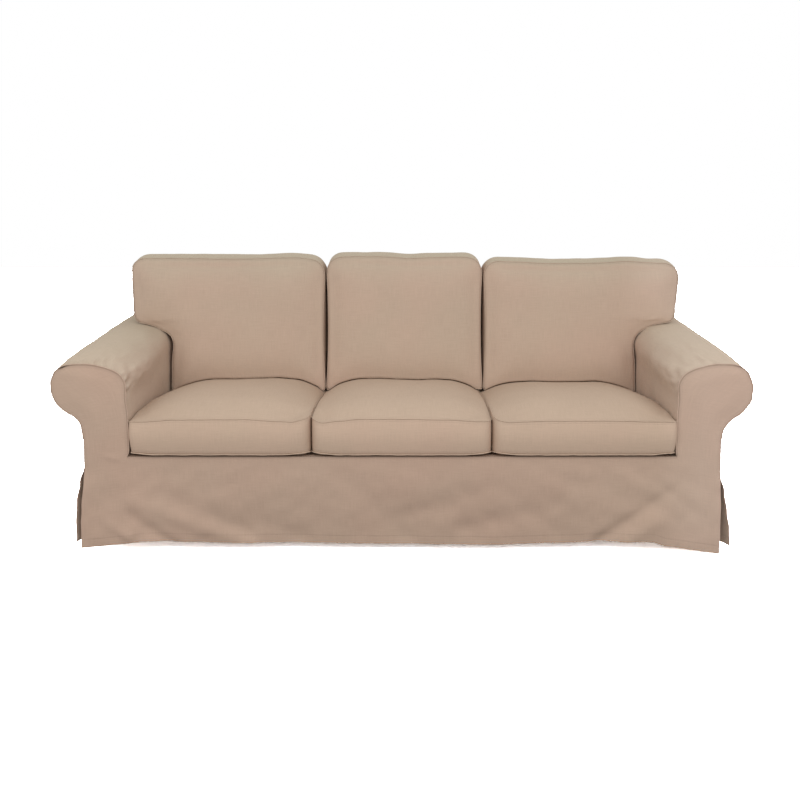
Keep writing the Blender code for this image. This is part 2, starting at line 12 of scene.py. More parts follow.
import bmesh
import bpy
from mathutils import Vector, noise
from mathutils.bvhtree import BVHTree
from mathutils.kdtree import KDTree
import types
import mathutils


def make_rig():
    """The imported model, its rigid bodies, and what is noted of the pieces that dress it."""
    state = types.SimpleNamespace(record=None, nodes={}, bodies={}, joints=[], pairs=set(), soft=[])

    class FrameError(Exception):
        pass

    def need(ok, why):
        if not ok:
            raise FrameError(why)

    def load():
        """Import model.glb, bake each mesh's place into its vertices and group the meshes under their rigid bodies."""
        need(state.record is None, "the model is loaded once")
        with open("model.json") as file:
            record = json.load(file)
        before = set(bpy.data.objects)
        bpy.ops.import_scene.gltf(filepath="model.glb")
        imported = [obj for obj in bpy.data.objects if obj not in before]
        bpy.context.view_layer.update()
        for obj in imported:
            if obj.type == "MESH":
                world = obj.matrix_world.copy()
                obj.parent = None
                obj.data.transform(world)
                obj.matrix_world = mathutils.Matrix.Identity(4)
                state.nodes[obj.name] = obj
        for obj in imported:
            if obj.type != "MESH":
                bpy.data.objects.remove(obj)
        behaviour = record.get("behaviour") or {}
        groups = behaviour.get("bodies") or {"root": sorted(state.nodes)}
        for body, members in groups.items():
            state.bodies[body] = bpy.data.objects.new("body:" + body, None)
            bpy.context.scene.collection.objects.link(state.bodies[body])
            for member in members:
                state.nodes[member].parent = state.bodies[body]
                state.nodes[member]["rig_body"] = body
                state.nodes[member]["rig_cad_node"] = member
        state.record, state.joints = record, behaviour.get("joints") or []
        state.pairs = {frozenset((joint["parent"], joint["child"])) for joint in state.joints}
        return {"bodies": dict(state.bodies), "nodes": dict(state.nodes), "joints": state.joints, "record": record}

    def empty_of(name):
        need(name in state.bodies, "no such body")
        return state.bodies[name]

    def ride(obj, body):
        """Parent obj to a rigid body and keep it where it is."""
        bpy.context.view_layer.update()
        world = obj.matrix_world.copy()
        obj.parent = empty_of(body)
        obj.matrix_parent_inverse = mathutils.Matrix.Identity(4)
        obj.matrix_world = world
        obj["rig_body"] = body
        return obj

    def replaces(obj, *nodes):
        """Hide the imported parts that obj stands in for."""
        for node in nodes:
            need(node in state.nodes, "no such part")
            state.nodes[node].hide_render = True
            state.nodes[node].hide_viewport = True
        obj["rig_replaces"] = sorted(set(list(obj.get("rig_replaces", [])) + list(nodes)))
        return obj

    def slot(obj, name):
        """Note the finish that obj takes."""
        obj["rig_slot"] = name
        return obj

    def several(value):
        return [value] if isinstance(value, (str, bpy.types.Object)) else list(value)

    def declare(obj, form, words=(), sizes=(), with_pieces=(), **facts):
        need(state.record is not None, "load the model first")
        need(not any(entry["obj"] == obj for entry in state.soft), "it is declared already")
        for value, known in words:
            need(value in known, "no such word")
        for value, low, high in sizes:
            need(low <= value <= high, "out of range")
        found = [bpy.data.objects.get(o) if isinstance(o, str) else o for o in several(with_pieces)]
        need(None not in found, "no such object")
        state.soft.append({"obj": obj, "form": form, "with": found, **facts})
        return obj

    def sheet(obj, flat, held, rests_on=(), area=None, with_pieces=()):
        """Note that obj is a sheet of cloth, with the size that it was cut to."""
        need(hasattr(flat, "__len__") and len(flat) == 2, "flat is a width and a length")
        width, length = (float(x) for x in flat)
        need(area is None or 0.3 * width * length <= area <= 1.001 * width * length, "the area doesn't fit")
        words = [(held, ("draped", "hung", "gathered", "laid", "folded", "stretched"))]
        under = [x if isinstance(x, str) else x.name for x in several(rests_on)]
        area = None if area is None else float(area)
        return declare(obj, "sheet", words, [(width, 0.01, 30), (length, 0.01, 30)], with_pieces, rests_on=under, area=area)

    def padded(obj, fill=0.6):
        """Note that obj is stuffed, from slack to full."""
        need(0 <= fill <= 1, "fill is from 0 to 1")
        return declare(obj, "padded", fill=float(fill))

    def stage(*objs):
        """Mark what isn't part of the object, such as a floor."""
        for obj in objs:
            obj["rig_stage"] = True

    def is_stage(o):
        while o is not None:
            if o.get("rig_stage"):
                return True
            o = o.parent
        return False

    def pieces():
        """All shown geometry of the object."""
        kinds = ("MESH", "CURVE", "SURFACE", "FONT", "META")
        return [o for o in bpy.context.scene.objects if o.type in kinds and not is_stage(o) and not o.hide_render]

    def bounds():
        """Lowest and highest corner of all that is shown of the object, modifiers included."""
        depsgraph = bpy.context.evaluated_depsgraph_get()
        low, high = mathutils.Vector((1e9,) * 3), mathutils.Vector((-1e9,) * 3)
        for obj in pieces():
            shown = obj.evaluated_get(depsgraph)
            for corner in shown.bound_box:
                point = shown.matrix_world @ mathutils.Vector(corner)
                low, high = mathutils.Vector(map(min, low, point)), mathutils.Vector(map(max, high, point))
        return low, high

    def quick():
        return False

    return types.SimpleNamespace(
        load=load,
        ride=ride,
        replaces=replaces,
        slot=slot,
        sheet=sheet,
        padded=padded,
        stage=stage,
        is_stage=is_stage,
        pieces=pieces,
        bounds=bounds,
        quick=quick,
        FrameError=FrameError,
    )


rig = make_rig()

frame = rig.load()
cad_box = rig.bounds()
scene = bpy.context.scene

# ---------------------------------------------------------------- the room
# A white room: a pale matt floor, an even sky, a soft light from overhead, another from
# behind and a long lamp in front. The camera stands in front, a little above the back.

FLOOR_Z = -0.8075          # the floor, and the plane of the arms' fronts, from the mount
FRONT_Y = -0.795


def at(x, y, z):
    """A place across, back from the arms' fronts and above the floor, in the frame."""
    return Vector((x, y + FRONT_Y, z + FLOOR_Z))


camera_data = bpy.data.cameras.new("camera")
camera_data.sensor_width = 36.0
camera_data.lens = 40.75
camera_data.shift_x = -0.0025
camera_data.shift_y = -0.070
camera = bpy.data.objects.new("camera", camera_data)
camera.location = at(0.0, -2.735, 1.081)
camera.rotation_euler = (math.radians(90.0 - 8.5), 0.0, 0.0)
scene.collection.objects.link(camera)
scene.camera = camera
scene.view_settings.view_transform = "Standard"


def set_inputs(node, values):
    for name, value in values.items():
        node.inputs[name].default_value = value


def light_or_seen(tree, light, seen, socket):
    """Feed a socket one value for the light in the room and another for the camera's view."""
    path, value = tree.nodes.new("ShaderNodeLightPath"), tree.nodes.new("ShaderNodeMapRange")
    set_inputs(value, {"To Min": light, "To Max": seen})
    tree.links.new(path.outputs["Is Camera Ray"], value.inputs["Value"])
    tree.links.new(value.outputs["Result"], socket)


sky = bpy.data.worlds.new("sky")
sky.use_nodes = True
background = sky.node_tree.nodes["Background"]
set_inputs(background, {"Color": (1.0, 1.0, 1.0, 1.0)})
light_or_seen(sky.node_tree, 0.62, 1.0, background.inputs["Strength"])
scene.world = sky

# Each soft light's energy, then its width, height and bearing in degrees.
for name, energy, *angles in (("overhead_lamp", 0.14, 65.0, 65.0, 4.0),
                              ("rear_lamp", 0.85, 90.0, 25.0, 160.0)):
    width, height, bearing = [math.radians(angle) for angle in angles]
    sun = bpy.data.lights.new(name, "SUN")
    sun.energy = energy
    sun.angle = width
    sun_lamp = bpy.data.objects.new(name, sun)
    sun_lamp.rotation_euler = (math.pi / 2.0 - height, 0.0, bearing)
    scene.collection.objects.link(sun_lamp)

front = bpy.data.lights.new("front_lamp", "AREA")
front.shape = "RECTANGLE"
front.size, front.size_y = 6.4, 0.9
front.energy = 50.0
front_lamp = bpy.data.objects.new("front_lamp", front)
front_lamp.location = at(-0.1, -1.7, 1.65)
aim = at(-0.1, 0.2, 0.45) - front_lamp.location
front_lamp.rotation_euler = aim.to_track_quat("-Z", "Y").to_euler()
front_lamp.visible_camera = False
scene.collection.objects.link(front_lamp)

floor_mesh = bpy.data.meshes.new("floor")
bm = bmesh.new()
bmesh.ops.create_grid(bm, x_segments=1, y_segments=1, size=14.0)
bmesh.ops.translate(bm, verts=bm.verts, vec=at(0.0, 0.0, 0.0))
bm.to_mesh(floor_mesh)
bm.free()
floor = bpy.data.objects.new("floor", floor_mesh)
scene.collection.objects.link(floor)
floor_paint = bpy.data.materials.new("pale floor")
floor_paint.use_nodes = True
floor_shader = floor_paint.node_tree.nodes["Principled BSDF"]
light_or_seen(floor_paint.node_tree, 0.28, 15.0, floor_shader.inputs["Base Color"])
set_inputs(floor_shader, {"Roughness": 0.9, "Specular IOR Level": 0.1})
floor_mesh.materials.append(floor_paint)
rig.stage(floor)

# ---------------------------------------------------------------- the arms
# Each rolled arm is covered in four cuts of washed beige cotton canvas, sewn together with
# topstitched seams: a scroll-shaped facing at the front, cut in one with the skirt under it,
# the same behind, one length over the top, and the side, which hangs free down to the hem.

CLOTH = 0.0025             # thickness of the cloth where it is doubled at its seams
GAP = 0.0003               # between two panels that are sewn together
SEAM_STITCH = 0.008        # topstitching from a seam
HEM_STITCH = 0.025         # and from a hem
FAR_OFF = 1.0              # for places with no stitching near them


def add_nodes(tree, *kinds):
    return [tree.nodes.new(kind) for kind in kinds]


def maths(tree, operation, *values):
    """A Math node fed with numbers or sockets; returns its output."""
    node = tree.nodes.new("ShaderNodeMath")
    node.operation = operation
    for socket, value in zip(node.inputs, values):
        if isinstance(value, (int, float)):
            socket.default_value = value
        else:
            tree.links.new(value, socket)
    return node.outputs[0]


def make_group(name, *outputs):
    """A node group with those outputs; returns it and its output node."""
    group = bpy.data.node_groups.new(name, "ShaderNodeTree")
    for output in outputs:
        group.interface.new_socket(output, in_out="OUTPUT", socket_type="NodeSocketFloat")
    return group, group.nodes.new("NodeGroupOutput")


def make_weave_group():
    """Threads, slubs and clouding of a plain weave, read from the cut's own metres."""
    threads_per_metre, slub_share, cloud_share = 1000.0, 0.15, 0.10
    group, outside = make_group("plain weave", "Tint", "Warmth", "Height")
    cut, parts, place = add_nodes(group, "ShaderNodeUVMap", "ShaderNodeSeparateXYZ",
                                  "ShaderNodeTexCoord")
    cut.uv_map = "cut"
    group.links.new(cut.outputs["UV"], parts.inputs["Vector"])
    warp, weft = [maths(group, "SINE", maths(group, "MULTIPLY", parts.outputs[axis],
                                             threads_per_metre * math.pi)) for axis in "XY"]
    over_under = maths(group, "MULTIPLY_ADD", maths(group, "MULTIPLY", warp, weft), 0.5, 0.5)

    def cloudy(vector, scale, detail):
        grain, = add_nodes(group, "ShaderNodeTexNoise")
        set_inputs(grain, {"Scale": scale, "Detail": detail})
        group.links.new(vector, grain.inputs["Vector"])
        return grain.outputs["Fac"]

    def streaks(scale_x, scale_y):
        stretch, = add_nodes(group, "ShaderNodeVectorMath")
        stretch.operation = "MULTIPLY"
        stretch.inputs[1].default_value = (scale_x, scale_y, 1.0)
        group.links.new(cut.outputs["UV"], stretch.inputs[0])
        return cloudy(stretch.outputs[0], 1.0, 2.0)

    slubs = maths(group, "ADD", streaks(20.0, 420.0), streaks(420.0, 20.0))
    slubs = maths(group, "MULTIPLY", maths(group, "SUBTRACT", slubs, 1.0), slub_share)
    clouds = cloudy(place.outputs["Object"], 4.5, 3.0)
    clouding = maths(group, "MULTIPLY", maths(group, "SUBTRACT", clouds, 0.5), cloud_share)
    tint = maths(group, "ADD", maths(group, "ADD", slubs, clouding), 1.0)
    tint = maths(group, "ADD", tint, maths(group, "MULTIPLY_ADD", over_under, 0.06, -0.03))
    height = maths(group, "ADD", over_under, maths(group, "MULTIPLY", slubs, 6.0))
    warmth = cloudy(place.outputs["Object"], 3.1, 2.0)
    warmer = maths(group, "MULTIPLY_ADD", warmth, 2.6, -0.8)
    group.links.new(warmer, outside.inputs["Warmth"])
    group.links.new(tint, outside.inputs["Tint"])
    group.links.new(height, outside.inputs["Height"])
    return group


def make_stitch_group():
    """Stitches, the groove they pull with painted shade in it, and painted shade along the crease in which two panels
    meet.
    """
    stitch, gap, half_thread, groove_and_shade_half, crease_shade_half = 0.0034, 0.0010, 0.0005, 0.0022, 0.0030
    group, outside = make_group("topstitching", "Thread", "Groove", "Crease")
    values = []
    for name in ("stitch_off", "stitch_run", "seam_off"):
        attribute, = add_nodes(group, "ShaderNodeAttribute")
        attribute.attribute_name = name
        values.append(attribute.outputs["Fac"])
    away, along_seam, to_seam = values

    def bell(distance, half_width):
        share = maths(group, "DIVIDE", distance, half_width)
        return maths(group, "EXPONENT", maths(group, "MULTIPLY", maths(
            group, "MULTIPLY", share, share), -1.0))

    distance = maths(group, "ABSOLUTE", away)
    within = maths(group, "LESS_THAN", distance, half_thread)
    phase = maths(group, "FLOORED_MODULO", along_seam, stitch + gap)
    sewn = maths(group, "LESS_THAN", phase, stitch)
    group.links.new(maths(group, "MULTIPLY", within, sewn), outside.inputs["Thread"])
    # Groove: how near the stitching a place is; it sinks the bump, and it also paints shade into the colour.
    group.links.new(bell(distance, groove_and_shade_half), outside.inputs["Groove"])
    # Crease: painted shade along the seam itself, where two panels meet.
    group.links.new(bell(to_seam, crease_shade_half), outside.inputs["Crease"])
    return group


def make_painted_light_masks():
    """Masks of painted light: of what faces up and stands high, and of the end on the right, seen from the front."""
    group, outside = make_group("fading", "Fade", "Sunned")
    for name in ("From height", "To height"):
        group.interface.new_socket(name, in_out="INPUT", socket_type="NodeSocketFloat")
    inside, place, level, shape, up, high, facing_up, right_end_light_mask = add_nodes(
        group, "NodeGroupInput", "ShaderNodeTexCoord", "ShaderNodeSeparateXYZ",
        "ShaderNodeNewGeometry", "ShaderNodeSeparateXYZ", "ShaderNodeMapRange",
        "ShaderNodeMapRange", "ShaderNodeMapRange")
    group.links.new(place.outputs["Object"], level.inputs["Vector"])
    group.links.new(level.outputs["Z"], high.inputs["Value"])
    group.links.new(inside.outputs["From height"], high.inputs["From Min"])
    group.links.new(inside.outputs["To height"], high.inputs["From Max"])
    group.links.new(shape.outputs["Normal"], up.inputs["Vector"])
    group.links.new(up.outputs["Z"], facing_up.inputs["Value"])
    set_inputs(facing_up, {"From Min": 0.25, "From Max": 0.95})
    # Painted light on the tops: a tone laid on the surfaces that face up and stand high.
    top_light_mask = maths(group, "MULTIPLY", high.outputs["Result"], facing_up.outputs["Result"])
    group.links.new(top_light_mask, outside.inputs["Fade"])
    # Painted light on the end on the right: up to 14 % paler from x = 0.79 to 0.93, standing in for the brighter light
    # there.
    group.links.new(level.outputs["X"], right_end_light_mask.inputs["Value"])
    set_inputs(right_end_light_mask, {"From Min": 0.79, "From Max": 0.93, "To Max": 0.14})
    group.links.new(right_end_light_mask.outputs["Result"], outside.inputs["Sunned"])
    return group


WEAVE = make_weave_group()
STITCHES = make_stitch_group()
PAINTED_LIGHT_MASKS = make_painted_light_masks()


def canvas(name, cool, warm, crease, worn=(0.470, 0.400, 0.300), painted_light_from=(-0.30, -0.12)):
    """Cotton canvas that wanders between two beiges, with painted shade along the crease of its seams and in the
    groove of its stitching.

    Its third colour is painted light: the tone it takes where it faces up, which sets in between the two heights of
    the fourth argument. Its end on the right, seen from the front, is painted lighter as well.
    """
    mat = bpy.data.materials.new(name)
    mat.use_nodes = True
    tree = mat.node_tree
    shader = tree.nodes["Principled BSDF"]
    weave, stitches, fading, hue, top_lit, right_end_lit, tinted, bumped = add_nodes(
        tree, "ShaderNodeGroup", "ShaderNodeGroup", "ShaderNodeGroup", "ShaderNodeMix",
        "ShaderNodeMix", "ShaderNodeMix", "ShaderNodeVectorMath", "ShaderNodeBump")
    weave.node_tree, stitches.node_tree, fading.node_tree = WEAVE, STITCHES, PAINTED_LIGHT_MASKS
    hue.data_type = top_lit.data_type = right_end_lit.data_type = "RGBA"
    set_inputs(hue, {"A": cool + (1.0,), "B": warm + (1.0,)})
    tree.links.new(weave.outputs["Warmth"], hue.inputs["Factor"])
    # Painted light on the tops: the colour turns towards the third colour where the surface faces up.
    tree.links.new(hue.outputs["Result"], top_lit.inputs["A"])
    set_inputs(top_lit, {"B": worn + (1.0,)})
    set_inputs(fading, {"From height": painted_light_from[0], "To height": painted_light_from[1]})
    tree.links.new(fading.outputs["Fade"], top_lit.inputs["Factor"])
    # Painted light on the end on the right: the colour is mixed towards a paler beige.
    tree.links.new(top_lit.outputs["Result"], right_end_lit.inputs["A"])
    set_inputs(right_end_lit, {"B": (0.850, 0.680, 0.580, 1.0)})
    tree.links.new(fading.outputs["Sunned"], right_end_lit.inputs["Factor"])
    tinted.operation = "SCALE"
    tree.links.new(right_end_lit.outputs["Result"], tinted.inputs[0])
    # Painted shade: the colour is darkened by 6 % in the stitching's groove, and by the crease share along the crease
    # of the seams.
    shade = maths(tree, "MULTIPLY", weave.outputs["Tint"], maths(
        tree, "MULTIPLY_ADD", stitches.outputs["Groove"], -0.06, 1.0))
    shade = maths(tree, "MULTIPLY", shade, maths(
        tree, "MULTIPLY_ADD", stitches.outputs["Crease"], -crease, 1.0))
    shade = maths(tree, "MULTIPLY_ADD", stitches.outputs["Thread"], 0.12, shade)
    tree.links.new(shade, tinted.inputs["Scale"])
    tree.links.new(tinted.outputs[0], shader.inputs["Base Color"])
    height = maths(tree, "MULTIPLY", weave.outputs["Height"], 0.22)
    height = maths(tree, "MULTIPLY_ADD", stitches.outputs["Groove"], -0.7, height)
    height = maths(tree, "ADD", height, stitches.outputs["Thread"])
    tree.links.new(height, bumped.inputs["Height"])
    set_inputs(bumped, {"Strength": 0.55, "Distance": 0.0008})
    tree.links.new(bumped.outputs["Normal"], shader.inputs["Normal"])
    set_inputs(shader, {"Roughness": 0.93, "Specular IOR Level": 0.18, "Sheen Weight": 0.12,
                        "Sheen Roughness": 0.45, "Sheen Tint": (0.80, 0.62, 0.48, 1.0)})
    return mat


# Each canvas below takes a greyer, greener tone as painted light on the faces that look up, from 0.51 to 0.69 m above
# the floor. The last number of each is how much painted shade it takes along the crease of its seams.
COVER_CANVAS = canvas("beige canvas of the frame cover", (0.495, 0.363, 0.276),
                      (0.506, 0.354, 0.270), 0.40)
# Painted light: the length over the arms is a brighter copy of the cover's canvas, to lighten the inner faces of the
# arms.
ARM_BRIGHTENED_CANVAS = canvas("worn beige canvas over the arms", (0.512, 0.402, 0.314),
                    (0.522, 0.394, 0.309), 0.40)
# Painted light: the reverse of the canvas, on the inner faces and rims of every cut, is made half again as light as
# its face, to lighten the insides seen through the slits.
BRIGHTENED_REVERSE_CANVAS = canvas("paler reverse of the canvas", (0.740, 0.560, 0.430),
                        (0.750, 0.550, 0.420), 0.0)


def smoothstep(value, low, high):
    part = min(max((value - low) / (high - low), 0.0), 1.0)
    return part * part * (3.0 - 2.0 * part)


def falling(value, low, high):
    return 1.0 - smoothstep(value, low, high)


def lerp(first, second, part):
    return first + (second - first) * part


def ripple(point, size, seed):
    """Smooth random relief from about -1 to 1, with waves of about that size."""
    return noise.noise(Vector(point) / size + Vector((seed, 0.37 * seed, 1.7 * seed))) * 1.6


def mark_stitching(bm, lines):
    """Give each vertex its distance from the stitching and the seam, and its run along them.

    lines holds (points of an edge, how far the stitching is from that edge).
    """
    off_layer = bm.verts.layers.float.new("stitch_off")
    run_layer = bm.verts.layers.float.new("stitch_run")
    seam_layer = bm.verts.layers.float.new("seam_off")
    tree = KDTree(max(sum(len(points) for points, _ in lines), 1))
    where = []
    for line, (points, _) in enumerate(lines):
        run = 0.0
        for index, point in enumerate(points):
            if index:
                run += (point - points[index - 1]).length
            tree.insert(point, len(where))
            where.append((line, index, run))
    tree.balance()
    reach = 0.060
    for vert in bm.verts:
        vert[off_layer], vert[run_layer], vert[seam_layer] = FAR_OFF, 0.0, FAR_OFF
        if not where:
            continue
        _, found, distance = tree.find(vert.co)
        if distance > reach:
            continue
        line, index, run = where[found]
        points, stitch = lines[line]
        best = (distance, run)
        for start in (index - 1, index):
            if start < 0 or start + 1 >= len(points):
                continue
            step = points[start + 1] - points[start]
            part = (vert.co - points[start]).dot(step) / step.length_squared
            if 0.0 <= part <= 1.0:
                near = (vert.co - points[start] - step * part).length
                first = run if start == index else run - step.length
                best = min(best, (near, first + step.length * part))
        vert[off_layer], vert[run_layer] = best[0] - stitch, best[1]
        vert[seam_layer] = best[0] if stitch == SEAM_STITCH else FAR_OFF


def finish_piece(name, bm, mat, slot):
    mesh = bpy.data.meshes.new(name)
    bm.to_mesh(mesh)
    bm.free()
    mesh.materials.append(mat)
    for polygon in mesh.polygons:
        polygon.use_smooth = True
    piece = bpy.data.objects.new(name, mesh)
    scene.collection.objects.link(piece)
    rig.ride(piece, "root")
    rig.slot(piece, slot)
    return piece


def cut_panel(name, columns, rows, place, facing, sewn, plain_rows=0, mat=COVER_CANVAS,
              upright=False):
    """One cut of the frame cover's canvas, with its flat size and the area of its cut.

    place(column part, row part) is a place on its outer face, and facing is the way that face
    looks at the middle of the grid. sewn gives the distance of the stitching from the first
    and the last column and from the first and the last row, or None. Along the first
    plain_rows rows the columns' stitching is left out. An upright cut lies as good as flat
    across the sofa, so its flat size is its extent; else it is measured along the grid.
    """
    bm = bmesh.new()
    bmesh.ops.create_grid(bm, x_segments=columns, y_segments=rows, size=1.0)
    grid = {}
    for vert in bm.verts:
        column = round((vert.co.x + 1.0) / 2.0 * columns)
        row = round((vert.co.y + 1.0) / 2.0 * rows)
        vert.co = place(column / columns, row / rows)
        grid[column, row] = vert
    bm.normal_update()
    if grid[columns // 2, rows // 2].normal.dot(Vector(facing)) < 0.0:
        bmesh.ops.reverse_faces(bm, faces=bm.faces)
    across, down = {}, {}
    for row in range(rows + 1):
        across[0, row] = 0.0
        for column in range(1, columns + 1):
            step = grid[column, row].co - grid[column - 1, row].co
            across[column, row] = across[column - 1, row] + step.length
    for column in range(columns + 1):
        down[column, 0] = 0.0
        for row in range(1, rows + 1):
            step = grid[column, row].co - grid[column, row - 1].co
            down[column, row] = down[column, row - 1] + step.length
    cut = bm.loops.layers.uv.new("cut")
    middle = {row: across[columns, row] / 2.0 for row in range(rows + 1)}
    spots = {vert: spot for spot, vert in grid.items()}
    for face in bm.faces:
        for loop in face.loops:
            column, row = spots[loop.vert]
            loop[cut].uv = (across[column, row] - middle[row], down[column, row])
    edges = [[(column, row) for row in range(plain_rows, rows + 1)] for column in (0, columns)]
    edges += [[(column, row) for column in range(columns + 1)] for row in (0, rows)]
    mark_stitching(bm, [([grid[spot].co.copy() for spot in edge], stitch)
                        for edge, stitch in zip(edges, sewn) if stitch])
    width = max(across[columns, row] for row in range(rows + 1))
    length = max(down[column, rows] for column in range(columns + 1))
    if upright:
        width, length = [max(vert.co[axis] for vert in bm.verts)
                         - min(vert.co[axis] for vert in bm.verts) for axis in (0, 2)]
    area = sum(face.calc_area() for face in bm.faces)
    for edge in bm.edges:
        edge.smooth = not edge.is_boundary
    piece = finish_piece(name, bm, mat, "cover_cloth")
    # The inner faces and rims take the brightened reverse: painted light.
    piece.data.materials.append(BRIGHTENED_REVERSE_CANVAS)
    doubled = piece.modifiers.new("Cloth", "SOLIDIFY")
    doubled.thickness = CLOTH
    doubled.offset = -1.0
    doubled.material_offset = 1
    return piece, {"flat": (width, length), "area": min(area, width * length)}


def seam_lip(name, path, outs, proud, thick, mat, slot, closed=False):
    """The narrow lip that a topstitched seam stands up in, a little uneven along its run."""
    around = 8
    count = len(path)
    steps = count if closed else count - 1
    bm = bmesh.new()
    bmesh.ops.create_grid(bm, x_segments=steps, y_segments=around, size=1.0)
    for vert in bm.verts:
        index = round((vert.co.x + 1.0) / 2.0 * steps) % count
        turn = round((vert.co.y + 1.0) / 2.0 * around) % around / around * 2.0 * math.pi
        here, out = path[index], outs[index]
        before = path[index - 1] if closed or index else here
        after = path[(index + 1) % count] if closed or index < count - 1 else here
        side = (after - before).cross(out).normalized()
        uneven = 1.0 + 0.22 * ripple(here, 0.020, 3.0)
        vert.co = (here + out * (proud * uneven * 0.5 * (1.0 + math.cos(turn)) - proud * 0.3)
                   + side * (thick * 0.5 * math.sin(turn) + 0.0007 * ripple(here, 0.028, 9.0)))
    bmesh.ops.remove_doubles(bm, verts=bm.verts, dist=0.00002)
    bmesh.ops.holes_fill(bm, edges=[edge for edge in bm.edges if edge.is_boundary], sides=0)
    bmesh.ops.recalc_face_normals(bm, faces=bm.faces)
    cut = bm.loops.layers.uv.new("cut")
    for face in bm.faces:
        for loop in face.loops:
            loop[cut].uv = (loop.vert.co.x + loop.vert.co.y, loop.vert.co.z)
    mark_stitching(bm, [])
    return finish_piece(name, bm, mat, slot)


COVER_LIP = (0.0042, 0.0030)                        # proud, thick
LIP_STAND = 0.0012         # how far the lips' lines stand off the faces of the back
SIGN = {"left": -1.0, "right": 1.0}
SEAT_HALF = 0.858          # half the room between the arms
REAR_Y = 0.860             # the rear face of the sofa
DECK_FRONT_Z, DECK_BACK_Z, DECK_BACK_Y = 0.319, 0.293, 0.662
ARM_BODY = {"left": 0.132, "right": 0.133}          # thickness of an arm below its roll
ARM_RISE = 0.064           # how much higher an arm's top is at the rear
ARM_PAD, ARM_PAD_REACH = 0.014, 0.110               # swell behind the front seam, and its reach
ARM_GATHERS = {"left": 0.0095, "right": 0.0060}     # puckers behind the front seam
ARM_SWELL = {"left": 0.006, "right": 0.0}           # of the inner face, farther back
ARM_LOW_SWELL = {"left": 0.009, "right": 0.006}     # and in front, beside the seat cushions
ARM_CORNER_SWELL = 0.012   # of its upper corner in front
SLIT_TOP_Z = 0.270         # top of the open corners of the skirt
HEM_Z = 0.030
KICK = 0.006               # how far the panels stand out at the hem
# One arm from its inner face outwards, as (out, up), and the front hem, as (across, up).
ARM_OUTLINE = (
    (0.000, 0.423), (0.000, 0.508), (0.009, 0.558), (0.038, 0.590), (0.080, 0.605),
    (0.125, 0.609), (0.170, 0.604), (0.205, 0.583), (0.223, 0.543), (0.218, 0.500),
    (0.193, 0.466), (0.163, 0.442), (0.145, 0.412), (0.138, 0.374),
)
ARM_STEPS = 104
FRONT_HEM = (
    (-0.996, 0.023), (-0.905, 0.031), (-0.855, 0.039), (-0.809, 0.044), (-0.460, 0.035),
    (0.056, 0.029), (0.271, 0.026), (0.485, 0.033), (0.640, 0.041), (0.780, 0.042),
    (0.837, 0.027), (0.930, 0.014), (0.984, 0.003),
)
# How the two arms differ from that outline on their outer half, by height.
ARM_TRIM = {
    "left": ((0.33, -0.006), (0.40, -0.0085), (0.425, -0.013), (0.447, -0.012), (0.47, -0.006),
             (0.53, -0.003), (0.57, 0.002), (0.592, 0.006), (0.605, 0.010)),
    "right": ((0.33, -0.005), (0.40, -0.006), (0.425, -0.001), (0.447, 0.008), (0.48, 0.003),
              (0.52, -0.003), (0.57, -0.004), (0.592, -0.001), (0.605, 0.005)),
}
# How far out the facing's and the side's free edges stand at the slit, by height.
CORNERS = {
    "left": {
        "facing": ((0.0, 0.153), (0.10, 0.150), (0.15, 0.146), (0.24, 0.136), (0.286, 0.131),
                   (0.36, 0.131)),
        "side": ((0.03, 0.170), (0.10, 0.169), (0.17, 0.163), (0.235, 0.150), (0.29, 0.132)),
        "hem_lift": 0.010,
    },
    "right": {
        "facing": ((0.0, 0.143), (0.15, 0.141), (0.255, 0.136), (0.36, 0.133)),
        "side": ((0.03, 0.178), (0.08, 0.174), (0.14, 0.164), (0.20, 0.153), (0.27, 0.133)),
        "hem_lift": -0.005,
    },
}
# Folds of the front skirt: from (x, z) to (x, z), height (minus is a trough), half width.
SKIRT_FOLDS = (
    ((-0.92, 0.10), (-0.86, 0.06), 0.006, 0.018),
    ((-0.83, 0.17), (-0.48, 0.03), 0.009, 0.026),
    ((-0.76, 0.20), (-0.50, 0.08), -0.006, 0.030),
    ((-0.86, 0.13), (-0.72, 0.03), -0.010, 0.022),
    ((-0.50, 0.13), (-0.32, 0.05), -0.006, 0.030),
    ((-0.19, 0.26), (0.02, 0.06), -0.007, 0.045),
    ((0.31, 0.22), (0.03, 0.13), -0.007, 0.035),
    ((0.48, 0.16), (0.20, 0.08), -0.007, 0.035),
    ((0.83, 0.20), (0.62, 0.04), -0.011, 0.021),
    ((0.85, 0.14), (0.71, 0.045), 0.008, 0.025),
)


def along(table, position):
    """Read a table of (position, value) rows, eased between neighbours."""
    if position <= table[0][0]:
        return table[0][1]
    for (start, low), (end, high) in zip(table, table[1:]):
        if position <= end:
            return lerp(low, high, smoothstep(position, start, end))
    return table[-1][1]


def smooth_curve(points, count):
    """A curve through the points, as count + 1 places evenly spaced by control point."""
    last = len(points) - 1
    result = []
    for step in range(count + 1):
        position = step / count * last
        index = min(int(position), last - 1)
        t = position - index
        before = Vector(points[max(index - 1, 0)])
        start = Vector(points[index])
        end = Vector(points[index + 1])
        after = Vector(points[min(index + 2, last)])
        result.append(0.5 * (2 * start + (end - before) * t
                             + (2 * before - 5 * start + 4 * end - after) * t * t
                             + (3 * start - before - 3 * end + after) * t ** 3))
    return result


ARM_CURVE = smooth_curve(ARM_OUTLINE, ARM_STEPS)


def deck_z(y):
    return lerp(DECK_FRONT_Z, DECK_BACK_Z, y / DECK_BACK_Y)


